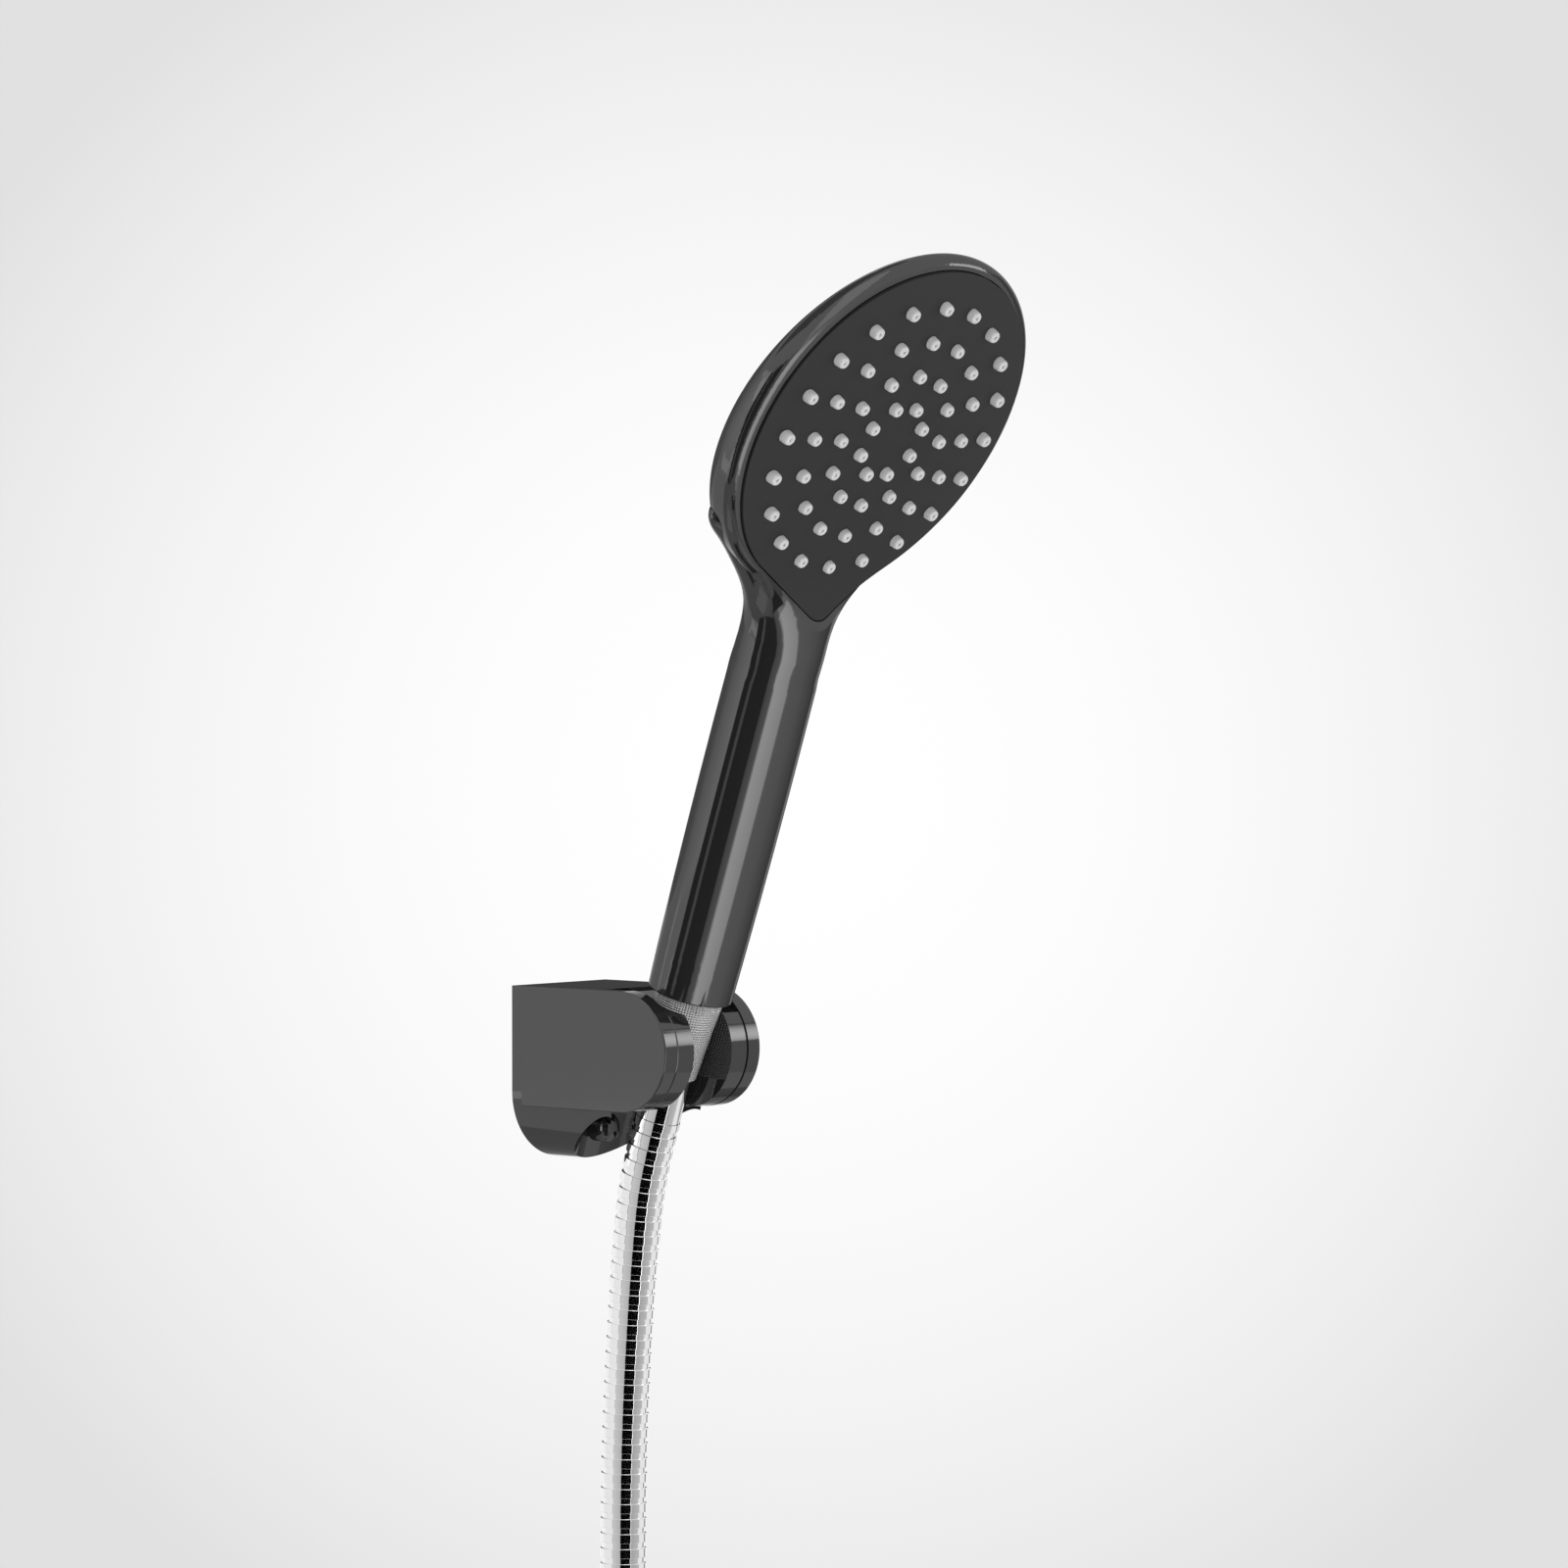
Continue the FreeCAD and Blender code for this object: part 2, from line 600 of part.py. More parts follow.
def waterway_tube():
    """Inlet with its G 1/2 thread, and the tube that carries the water to the neck."""
    groove = "d.socket_radius - 2 * d.seal_thick + 0.1"
    plug = "d.socket_radius - d.fit"
    flange = "d.sleeve_bore - d.fit"
    half = "(d.seal_thick + 0.1)"
    corners = [
        ("d.socket_radius", "d.spigot_foot"),
        ("d.spigot_radius", "d.spigot_foot"),
        ("d.spigot_radius", SHOULDER_TOP),
        (flange, SHOULDER_TOP),
        (flange, SHOULDER_TOP + " + 3"),
        ("d.tube_radius", SHOULDER_TOP + " + 3"),
        ("d.tube_radius", "d.seam - d.plug_long"),
        (plug, "d.seam - d.plug_long + 1"),
    ]
    for middle in (SEAL_LOW, SEAL_HIGH):
        corners += [
            (plug, f"{middle} - {half}"),
            (groove, f"{middle} - {half}"),
            (groove, f"{middle} + {half}"),
            (plug, f"{middle} + {half}"),
        ]
    corners += [
        (plug, TUBE_TOP),
        ("d.tube_bore", TUBE_TOP),
        ("d.tube_bore", "d.spigot_foot + 5"),
        ("d.socket_radius", "d.spigot_foot + 5"),
    ]
    return turned("waterway_tube", HANDLE, corners)


def flow_restrictor():
    """Disc in the inlet that limits the flow."""
    corners = [
        ("2.2", "d.spigot_foot + 2"),
        ("d.socket_radius - d.fit", "d.spigot_foot + 2"),
        ("d.socket_radius - d.fit", "d.spigot_foot + 5"),
        ("2.2", "d.spigot_foot + 5"),
    ]
    return turned("flow_restrictor", HANDLE, corners)


def inlet_washer():
    """Washer squeezed between the hose's flange and the inlet."""
    corners = [
        ("d.tube_bore", FLANGE_TOP),
        ("d.flange_radius", FLANGE_TOP),
        ("d.flange_radius", "d.spigot_foot"),
        ("d.tube_bore", "d.spigot_foot"),
    ]
    return turned("inlet_washer", HANDLE, corners)


def conical_nut():
    """Nut that clamps the hose to the handset; its cone sits in the cradle."""
    bore = "d.ferrule_radius + d.run_fit"
    pocket = "d.flange_radius + 0.2"
    corners = [
        (bore, "-d.cone_foot"),
        ("d.cone_foot_radius - 0.3", "-d.cone_foot"),
        ("d.cone_foot_radius", "-d.cone_foot + 0.3"),
        ("d.cone_top_radius", "d.cone_top"),
        ("d.collar_radius", "d.cone_top"),
        ("d.collar_radius", "d.collar_top"),
        ("d.nut_radius", "d.collar_top"),
        ("d.nut_radius", "d.nut_top"),
        ("d.spigot_radius + d.run_fit", "d.nut_top"),
        ("d.spigot_radius + d.run_fit", "d.collar_top + 0.6"),
        (pocket, "d.collar_top + 0.6"),
        (pocket, FLANGE_FOOT + " - d.run_fit"),
        (bore, FLANGE_FOOT + " - d.run_fit"),
    ]
    body = turned("conical_nut", HANDLE, corners)
    flute = sketch_on(body, "XY_Plane", out="d.collar_top - 0.3")
    circle(flute, "d.collar_radius + 0.75 * d.flute_radius", "0", "d.flute_radius")
    cut = add_feature(body, "Pocket", flute, "d.collar_top - 0.3 - d.cone_top")
    polar(body, [cut], int(size("flutes")))
    return body


def hose_ferrule():
    """Crimped ferrule on the hose's upper end, with the flange that the nut pulls on."""
    corners = [
        ("d.ferrule_bore", "-d.hose_start"),
        ("d.ferrule_radius", "-d.hose_start"),
        ("d.ferrule_radius", FLANGE_FOOT),
        ("d.flange_radius", FLANGE_FOOT),
        ("d.flange_radius", FLANGE_TOP),
        ("d.ferrule_bore", FLANGE_TOP),
    ]
    return turned("hose_ferrule", HANDLE, corners)


# ---------------------------------------------------------------- spray head


def face_solid():
    """Everything behind the front surface of the face, in the head's frame."""
    half = 2 * size("shell_radius")
    bottom = -2 * size("shell_deep")
    level = -half * half / (2 * size("crown_radius"))
    cuts = []
    for height, front in FACE_LINE:
        left = Vector(-half, height, front + level)
        right = Vector(half, height, front + level)
        left_foot = Vector(-half, height, bottom)
        right_foot = Vector(half, height, bottom)
        crown = Part.Arc(left, Vector(0, height, front), right).toShape()
        sides = Part.makePolygon([right, right_foot, left_foot, left]).Edges
        cuts.append(Part.Wire([crown] + sides))
    return Part.makeLoft(cuts, True, False)


def egg_prism(grow, bottom, top):
    """The face plate's outline: a circle drawn out to a rounded tip below."""
    radius = size("face_radius") + grow
    tip = size("tip_radius") + grow
    rise = size("face_rise")
    drop = size("tip_drop")
    lean = math.asin((radius - tip) / (rise + drop))
    side = Vector(math.cos(lean), -math.sin(lean), 0)
    wide = side * radius + Vector(0, rise, 0)
    near = side * tip + Vector(0, -drop, 0)
    top_arc = Part.Arc(wide, Vector(0, rise + radius, 0), Vector(-wide.x, wide.y, 0))
    tip_arc = Part.Arc(Vector(-near.x, near.y, 0), Vector(0, -drop - tip, 0), near)
    edges = [
        top_arc.toShape(),
        Part.LineSegment(Vector(-wide.x, wide.y, 0), Vector(-near.x, near.y, 0)).toShape(),
        tip_arc.toShape(),
        Part.LineSegment(near, wide).toShape(),
    ]
    face = Part.Face(Part.Wire(edges))
    face.translate(Vector(0, 0, bottom))
    return face.extrude(Vector(0, 0, top - bottom))


def spun(corners):
    """A solid turned round Z from (radius, height) corners; four entries give an arc."""
    edges = []
    for index, corner in enumerate(corners):
        start = Vector(corners[index - 1][0], 0, corners[index - 1][1])
        stop = Vector(corner[0], 0, corner[1])
        if len(corner) == 4:
            edges.append(Part.Arc(start, Vector(corner[2], 0, corner[3]), stop).toShape())
        else:
            edges.append(Part.LineSegment(start, stop).toShape())
    return Part.Face(Part.Wire(edges)).revolve(Vector(), Z_AXIS, 360)


def neck_solid():
    """The neck, lofted through its cuts, in the handle's frame."""
    wires = []
    for height, half, front, back, square in NECK_CUTS:
        points = []
        for step in range(24):
            angle = 2 * math.pi * step / 24
            power = 2 / square if step < 12 else 1
            across = math.copysign(abs(math.cos(angle)) ** power, math.cos(angle))
            deep = back if step < 12 else front
            along = math.copysign(abs(math.sin(angle)) ** power, math.sin(angle))
            points.append(Vector(half * across, deep * along, height))
        curve = Part.BSplineCurve()
        curve.interpolate(Points=points, PeriodicFlag=True)
        wires.append(Part.Wire(curve.toShape()))
    return Part.makeLoft(wires, True, False)


def head_shell():
    """Shell of the head and neck, with the water chamber and the tube's socket."""
    radius = size("shell_radius")
    rim = -size("rim_level")
    corner = size("edge_round")
    deep = size("edge_level") - size("shell_deep")
    turn = math.radians(76)
    inner = radius - corner
    low = Vector(inner + corner * math.cos(turn), 0, -corner * math.sin(turn))
    mid = Vector(inner + corner * math.cos(turn / 2), 0, -corner * math.sin(turn / 2))
    disc = spun([
        (0, radius),
        (0, deep),
        (low.x, low.z, low.x / 2, deep + (low.z - deep) * 0.25),
        (radius, 0, mid.x, mid.z),
        (radius, radius),
    ])
    disc.Placement = Placement(
        Vector(0, size("shell_rise"), -size("edge_level")), Rotation(X_AXIS, size("back_lean"))
    )
    disc = disc.cut(Part.makeBox(
        4 * radius, 4 * radius, 4 * radius, Vector(-2 * radius, -2 * radius, rim)
    ))
    rims = [edge for edge in disc.Edges if edge.BoundBox.ZMin > rim - 0.01]
    disc = disc.makeFillet(size("rim_round"), rims)
    to_head = HEAD.inverse() * HANDLE
    neck = neck_solid()
    neck.Placement = to_head
    front = face_solid()
    neck = neck.common(front)
    shell = disc.fuse(neck)

    cavity = size("cavity_radius")
    floor = -size("cavity_deep")
    ledge_end = -size("cavity_edge")
    chamber = spun([
        (0, 20),
        (0, floor),
        (cavity - 6, ledge_end - 1.7, cavity / 2, floor + 1.3),
        (cavity, ledge_end, cavity - 1.8, ledge_end - 1.1),
        (cavity, 20),
    ])
    ledge = front.copy()
    ledge.translate(Vector(0, 0, -size("face_thick") - 0.1))
    pocket = egg_prism(size("face_gap"), -30, 30).cut(ledge)
    top = size("socket_top")
    low_end = size("seam") - size("plug_long")
    collar = Part.makeCylinder(
        size("sleeve_bore") - size("fit"), size("plug_long"), Vector(0, 0, low_end)
    )
    collar.Placement = to_head
    socket = Part.makeCylinder(
        size("socket_radius"), top - low_end + 1, Vector(0, 0, low_end - 1)
    )
    socket.Placement = to_head
    channel = Part.makeCylinder(
        size("channel_radius"), 28, Vector(0, size("channel_back"), top - 1)
    )
    channel.Placement = to_head
    shell = shell.fuse(collar).cut(chamber).cut(pocket).cut(socket).cut(channel)
    shell = shell.removeSplitter()
    return made("head_shell", shell, HEAD)


def nozzle_spots():
    """Places of all nozzles on the face, as (x, y, drop)."""
    for count, radius, drop, first in RINGS:
        for step in range(count):
            angle = math.radians(first + 360 * step / count)
            yield radius * math.sin(angle), radius * math.cos(angle), drop


def face_plate():
    """Matt plate that the nozzles stand through."""
    front = face_solid()
    back = front.copy()
    back.translate(Vector(0, 0, -size("face_thick")))
    plate = egg_prism(0, -30, 30).common(front).cut(back)
    screw = size("centre_screw")
    boss = Part.makeCylinder(
        3 * screw, size("mat_level") - size("face_level") - 1, Vector(0, 0, -size("mat_level"))
    )
    holes = [
        Part.makeCylinder(size("nozzle_base"), 60, Vector(x, y, -30))
        for x, y, _ in nozzle_spots()
    ]
    pilot = Part.makeCylinder(screw, 4, Vector(0, 0, -size("mat_level")))
    plate = plate.fuse(boss).cut(Part.makeCompound(holes)).cut(pilot)
    return made("face_plate", plate, HEAD)


def round_feature(body, kind, place, sizes):
    """An additive or subtractive cone or cylinder inside a body."""
    feature = body.newObject("PartDesign::" + kind, body.Label + "_" + kind.lower())
    for name, text in sizes.items():
        feature.setExpression(name, text)
    feature.Placement = Placement(place, Rotation())
    doc.recompute()
    return feature


def nozzle_mat():
    """Silicone mat whose nozzles stand through the face plate."""
    back = "d.mat_level + d.mat_thick"
    corners = [
        ("2 * d.centre_screw", "-(" + back + ")"),
        ("d.mat_radius", "-(" + back + ")"),
        ("d.mat_radius", "-d.mat_level"),
        ("2 * d.centre_screw", "-d.mat_level"),
    ]
    body = turned("nozzle_mat", HEAD, corners)
    level = size("mat_level")
    for count, radius, drop, first in RINGS:
        angle = math.radians(first)
        x = radius * math.sin(angle)
        y = radius * math.cos(angle)
        base = {
            "Radius1": "d.nozzle_base - 0.05",
            "Radius2": "d.nozzle_base - 0.05",
            "Height": f"d.mat_level - d.face_level - {drop}",
        }
        stem = round_feature(body, "AdditiveCone", Vector(x, y, -level), base)
        tip = {
            "Radius1": "d.nozzle_base - 0.05",
            "Radius2": "d.nozzle_tip",
            "Height": "d.face_level",
        }
        foot = Vector(x, y, -size("face_level") - drop)
        cone = round_feature(body, "AdditiveCone", foot, tip)
        jet = {"Radius": "d.nozzle_bore", "Height": "2 * d.mat_level"}
        hole = round_feature(body, "SubtractiveCylinder", Vector(x, y, -1.5 * level), jet)
        polar(body, [stem, cone, hole], count)
    return body


def distributor():
    """Board that presses the mat on the face plate and spreads the water."""
    front = "-(d.mat_level + d.mat_thick)"
    back = "-(d.mat_level + d.mat_thick + d.board_thick)"
    rim = "d.cavity_radius - d.fit"
    corners = [
        ("d.centre_screw + d.fit", back),
        (rim + " - 1.6", back),
        (rim + " - 1.6", back + " + 0.9"),
        (rim, back + " + 0.9"),
        (rim, front),
        ("d.centre_screw + d.fit", front),
    ]
    body = turned("distributor", HEAD, corners)
    deep = size("mat_level") + size("mat_thick") + 2 * size("board_thick")
    for count, radius, _, first in RINGS:
        angle = math.radians(first)
        place = Vector(radius * math.sin(angle), radius * math.cos(angle), -deep)
        sizes = {"Radius": "d.board_hole", "Height": "3 * d.board_thick"}
        hole = round_feature(body, "SubtractiveCylinder", place, sizes)
        polar(body, [hole], count)
    return body


def centre_screw():
    """Screw through the board and the mat into the face plate's boss."""
    seat = "-(d.mat_level + d.mat_thick + d.board_thick)"
    corners = [
        ("0", seat + " - 2"),
        ("2 * d.centre_screw", seat + " - 2"),
        ("2 * d.centre_screw", seat),
        ("d.centre_screw", seat),
        ("d.centre_screw", "-d.mat_level + 3"),
        ("0", "-d.mat_level + 3"),
    ]
    return turned("centre_screw", HEAD, corners)


# ---------------------------------------------------------------- hose


def hose_top():
    """The first centimetre of hose, ending in a hollow round the bending point."""
    hollow = size("hose_radius") + size("side_gap")
    rise = math.sqrt(hollow ** 2 - size("hose_radius") ** 2)
    body = new_body("hose_top", HANDLE)
    hinge = "-d.hose_hinge"
    hollow_text = "(d.hose_radius + d.side_gap)"
    corners = [
        ("0", "-d.hose_start"),
        ("0", f"{hinge} + {hollow_text}"),
        ("d.hose_radius", f"{hinge} + sqrt({hollow_text} ^ 2 - d.hose_radius ^ 2)",
         f"{hollow_text} * sin(30)", f"{hinge} + {hollow_text} * cos(30)"),
        ("d.hose_radius", "-d.hose_start"),
    ]
    turn_feature(body, "Revolution", outline(sketch_on(body, "XZ_Plane"), corners))
    return body


def route_wire(points):
    """Straight runs joined by arcs as large as the runs allow; prints the radii."""
    edges = []
    radii = []
    start = points[0]
    for before, corner, after in zip(points, points[1:], points[2:]):
        come = corner - before
        leave = after - corner
        half_turn = come.getAngle(leave) / 2
        reach = 0.45 * min(come.Length, leave.Length)
        radii.append(reach / math.tan(half_turn))
        come.normalize()
        leave.normalize()
        first = corner - come * reach
        last = corner + leave * reach
        inward = leave - come
        inward.normalize()
        centre = corner + inward * (radii[-1] / math.cos(half_turn))
        middle = centre - inward * radii[-1]
        edges.append(Part.LineSegment(start, first).toShape())
        edges.append(Part.Arc(first, middle, last).toShape())
        start = last
    edges.append(Part.LineSegment(start, points[-1]).toShape())
    return Part.Wire(edges), radii


def swept_hose(label, points):
    """A plain round tube along a route, and its length."""
    wire, radii = route_wire(points)
    direction = points[1] - points[0]
    ring = Part.Circle(points[0], direction, size("hose_radius")).toShape()
    tube = wire.makePipeShell([Part.Wire(ring)], True, False)
    expected = math.pi * size("hose_radius") ** 2 * wire.Length
    print(label, "radii", [round(radius, 1) for radius in radii])
    print(label, "length", round(wire.Length, 2), "volume ratio", round(tube.Volume / expected, 5))
    return tube, wire.Length


def coil_point(centre, angle, along):
    """A point on the coil's turns."""
    radius = size("coil_radius")
    turn = math.radians(angle)
    return centre + Vector(radius * math.cos(turn), along, radius * math.sin(turn))


def hose_parts():
    """Hose from its bending point to the far end: drop, put-away coil and end."""
    route = [Vector(*point) for point in HOSE_ROUTE]
    drop, drop_length = swept_hose("hose_drop", route)
    drop = drop.fuse(Part.makeSphere(size("hose_radius"), route[0]))
    radius = size("coil_radius")
    half = size("hose_radius")
    start = math.radians(COIL_START)
    entry = route[-1]
    centre = entry - Vector(radius * math.cos(start), 0, radius * math.sin(start))
    used = size("hose_hinge") - size("hose_start") + drop_length
    total = math.degrees((size("hose_length") - used) / radius)
    ramp = total - size("ramp_angle")
    front = -size("coil_pitch") * ramp / 360
    deep = -front + 2 * half

    ring_base = centre + Vector(0, half, 0)
    outer = Part.makeCylinder(radius + half, deep, ring_base, -Y_AXIS)
    inner = Part.makeCylinder(radius - half, deep, ring_base, -Y_AXIS)
    ring = outer.cut(inner)
    made("hose_drop", drop.cut(ring), Placement())
    made("hose_coil", ring, Placement())

    points = []
    for step in range(END_STEPS + 1):
        share = step / END_STEPS
        climb = size("ramp_rise") * share * share * (3 - 2 * share)
        turned_by = ramp + share * size("ramp_angle")
        along = -size("coil_pitch") * turned_by / 360 - climb
        points.append(coil_point(centre, COIL_START + turned_by, along))
    end, end_length = swept_hose("hose_end", points)
    made("hose_end", end.cut(ring), Placement())
    print("coil turns", round(total / 360, 3), "drop", round(drop_length, 1))
    coil_ties(centre, deep, COIL_START + ramp)
    end_fitting(points[-1], points[-1] - points[-2])


def coil_ties(centre, deep, climb_start):
    """Two straps round the turns, clear of the hose where it enters and climbs."""
    half = size("hose_radius") + 0.3
    thick = size("tie_thick")
    wide = size("tie_width")
    entry = COIL_START - 50
    taken = size("ramp_angle") + 45
    free = [
        climb_start + turn
        for turn in range(0, 360, 10)
        if (climb_start + turn - entry) % 360 > 65 and turn + 10 > taken
    ]
    straps = []
    for angle in (free[0], free[-1]):
        tall = deep + 0.6
        outer = Part.makeBox(
            2 * (half + thick), tall + 2 * thick, wide,
            Vector(size("coil_radius") - half - thick, -thick, -wide / 2),
        )
        inner = Part.makeBox(
            2 * half, tall, 2 * wide, Vector(size("coil_radius") - half, 0, -wide)
        )
        strap = outer.cut(inner)
        strap.Placement = Placement(
            centre + Vector(0, size("hose_radius") + 0.3 - tall, 0),
            Rotation(Y_AXIS, -angle),
        )
        straps.append(strap)
    made("coil_ties", Part.makeCompound(straps), Placement())


def end_fitting(place, direction):
    """Ferrule, hexagon nut and washer on the hose's far end."""
    frame = Placement(place, Rotation(Z_AXIS, direction))
    bore = "d.ferrule_bore"
    flange = "d.flange_radius"
    long = "d.end_ferrule_long"
    nut_top = f"({long} + d.hex_long)"
    corners = [
        (bore, "0"),
        ("d.hose_radius + 0.5", "0"),
        ("d.hose_radius + 0.5", long + " - 2"),
        ("d.ferrule_radius", long + " - 2"),
        ("d.ferrule_radius", long + " + 2.5"),
        (flange, long + " + 2.5"),
        (flange, long + " + 4.5"),
        (bore, long + " + 4.5"),
    ]
    turned("end_ferrule", frame, corners)
    body = new_body("hex_nut", frame)
    shape = sketch_on(body, "XY_Plane", out=long)
    reach = "d.hex_flats / sqrt(3)"
    hexagon = []
    for step in range(6):
        hexagon.append((f"{reach} * cos({60 * step})", f"{reach} * sin({60 * step})"))
    outline(shape, hexagon)
    add_feature(body, "Pad", shape, "d.hex_long")
    inside = sketch_on(body, "XZ_Plane")
    corners = [
        ("0", long + " - 1"),
        ("d.ferrule_radius + d.run_fit", long + " - 1"),
        ("d.ferrule_radius + d.run_fit", long + " + 2.5 - d.run_fit"),
        (flange + " + 0.2", long + " + 2.5 - d.run_fit"),
        (flange + " + 0.2", long + " + 6.5"),
        ("d.spigot_radius", long + " + 6.5"),
        ("d.spigot_radius", nut_top + " + 1"),
        ("0", nut_top + " + 1"),
    ]
    outline(inside, corners)
    turn_feature(body, "Groove", inside)
    corners = [
        ("d.tube_bore", long + " + 4.5"),
        ("d.flange_radius", long + " + 4.5"),
        ("d.flange_radius", long + " + 6.5"),
        ("d.tube_bore", long + " + 6.5"),
    ]
    turned("end_washer", frame, corners)
    bevel = sketch_on(body, "XZ_Plane")
    wide = "d.hex_flats / sqrt(3) + 0.5"
    flat = "d.hex_flats / 2"
    corners = [
        (flat, nut_top),
        (wide, nut_top),
        (wide, nut_top + " - 1.2"),
    ]
    outline(bevel, corners)
    turn_feature(body, "Groove", bevel)
    for name, point in (("place", place), ("axis", direction)):
        print("hose end", name, [round(value, 3) for value in point])


# ---------------------------------------------------------------- the whole set

wall_plate()
holder_body()
locking_screw()
swivel_cradle()
pivot_bush("pivot_bush_right", 1)
pivot_bush("pivot_bush_left", -1)
handle_sleeve()
waterway_tube()
ring_seal("neck_seal_lower", HANDLE, size("seam") - 3, "d.socket_radius - d.seal_thick", "d.seal_thick")
ring_seal("neck_seal_upper", HANDLE, size("seam") + 6, "d.socket_radius - d.seal_thick", "d.seal_thick")
flow_restrictor()
inlet_washer()
conical_nut()
hose_ferrule()
head_shell()
face_plate()
nozzle_mat()
distributor()
centre_screw()
ring_seal(
    "chamber_seal",
    HEAD,
    -size("mat_level") - size("mat_thick") - size("board_thick") + 0.05,
    "d.cavity_radius - d.chamber_seal",
    "d.chamber_seal",
)
hose_top()
hose_parts()
doc.recompute()

for item in doc.Objects:
    if "Invalid" in item.State or "Error" in item.State:
        raise RuntimeError(f"{item.Label} failed: {item.State}")
for piece in subparts:
    if piece.Shape.isNull() or not piece.Shape.isValid():
        raise RuntimeError(f"{piece.Label} has no valid shape")

os.makedirs("parts", exist_ok=True)
for piece in subparts:
    piece.Shape.exportStep(f"parts/{piece.Label}.step")
    print(piece.Label, len(piece.Shape.Solids), round(piece.Shape.Volume, 1))
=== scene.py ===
"""Looks of the handheld shower head: its hose, nozzles and finishes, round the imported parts."""
import json
import math

import bmesh
import bpy
from mathutils import Matrix, Vector


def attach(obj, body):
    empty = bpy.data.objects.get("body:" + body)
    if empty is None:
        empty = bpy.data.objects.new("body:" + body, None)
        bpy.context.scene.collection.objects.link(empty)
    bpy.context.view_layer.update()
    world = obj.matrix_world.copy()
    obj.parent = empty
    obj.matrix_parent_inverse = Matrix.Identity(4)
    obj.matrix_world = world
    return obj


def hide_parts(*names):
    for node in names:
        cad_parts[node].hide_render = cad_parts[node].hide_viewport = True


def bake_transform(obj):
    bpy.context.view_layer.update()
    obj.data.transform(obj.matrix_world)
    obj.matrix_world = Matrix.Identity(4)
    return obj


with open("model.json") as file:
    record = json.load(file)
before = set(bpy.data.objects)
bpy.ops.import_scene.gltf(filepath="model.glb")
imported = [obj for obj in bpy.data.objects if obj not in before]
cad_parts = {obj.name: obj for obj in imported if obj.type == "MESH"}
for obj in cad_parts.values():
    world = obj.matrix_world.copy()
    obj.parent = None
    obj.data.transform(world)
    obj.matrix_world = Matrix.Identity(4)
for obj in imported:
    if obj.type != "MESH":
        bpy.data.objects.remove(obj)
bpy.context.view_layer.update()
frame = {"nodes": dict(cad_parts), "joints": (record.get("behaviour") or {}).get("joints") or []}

bl_info = {
    "name": "Handheld Shower",
    "version": (1, 0, 0),
    "blender": (4, 5, 0),
    "location": "3D View > Sidebar > Shower",
    "description": "Builds the hose, nozzles, finishes and studio of a handheld shower",
    "category": "Object",
}

JOINTS = {joint["name"]: joint for joint in frame["joints"]}
SWIVEL = Vector(JOINTS["swivel_tilt"]["pos_m"])
HANDLE_AXIS = Vector(JOINTS["nut_spin"]["axis"])
HANDLE_FOOT = Vector(JOINTS["nut_spin"]["pos_m"])
HOSE_BEND = Vector(JOINTS["hose_hang"]["pos_m"])
HANDLE_BACK = Vector((1, 0, 0)).cross(HANDLE_AXIS) * -1

# The spray face: its turn about X, and its middle along the handle and in front of its axis.
FACE_TURN = Matrix.Rotation(math.radians(121.4), 3, "X")
FACE_HEIGHT = 0.1998
FACE_FRONT = 0.0229
FACE_MIDDLE = HANDLE_FOOT + HANDLE_AXIS * FACE_HEIGHT - HANDLE_BACK * FACE_FRONT

# The hose from its ferrule down to the first turn of the put-away coil.
HOSE_ROUTE = [
    (0, -0.03773, -0.0227), (0, -0.0338, -0.037), (0, -0.0317, -0.0535),
    (0, -0.0298, -0.0715), (0, -0.0281, -0.0925), (0, -0.0269, -0.1155),
    (0, -0.0264, -0.1375), (0, -0.0263, -0.166), (-0.00975, -0.0263, -0.19278),
    (-0.02807, -0.0263, -0.21461), (-0.05275, -0.0263, -0.22886),
]

# How far above its bending point the hose starts, inside the ferrule.
HOSE_INSIDE = 0.009

# Length of the hose above the coil, as its solids are laid.
HOSE_DROP = 0.22884

# The put-away turns: where they start, how long the last climb takes, and the angle from one
# control point to the next.
COIL_START = math.radians(120)
COIL_RAMP = math.radians(120)
COIL_STEP = math.radians(18)

# One link of the hose: share of its wide band, rounding of that band's lips, sides, and the
# bend in radians past which an edge stays sharp.
WIDE_SHARE = 0.64
LIP = 0.00008
HOSE_SIDES = 28
HOSE_SHARP = 0.6

# Rings of nozzles: count, radius, drop behind the first ring, angle of the first one.
RINGS = [
    (8, 0.0118, 0.0, 22.5),
    (12, 0.0218, 0.0005, 0.0),
    (16, 0.03265, 0.00124, 0.0),
    (20, 0.0438, 0.00188, 0.0),
]

# Outline of a nozzle from its foot over its rounded tip into its hole: radius and height.
NOZZLE_OUTLINE = [
    (0.00205, -0.0089), (0.00205, -0.0023), (0.002, -0.0019), (0.00189, -0.00088),
    (0.00179, -0.00052), (0.00163, -0.00024), (0.00138, -0.00007), (0.00105, 0.0),
    (0.00078, -0.00003), (0.00058, -0.00014), (0.0005, -0.00034), (0.00046, -0.0009),
    (0.00045, -0.004),
]
NOZZLE_SIDES = 24
NOZZLE_SHARP = 0.7

# The mat's sheet: radius, thickness, and its middle from the tips of the first ring.
SHEET_RADIUS = 0.0506
SHEET_THICK = 0.001
SHEET_LEVEL = -0.0094


# ---------------------------------------------------------------- settings


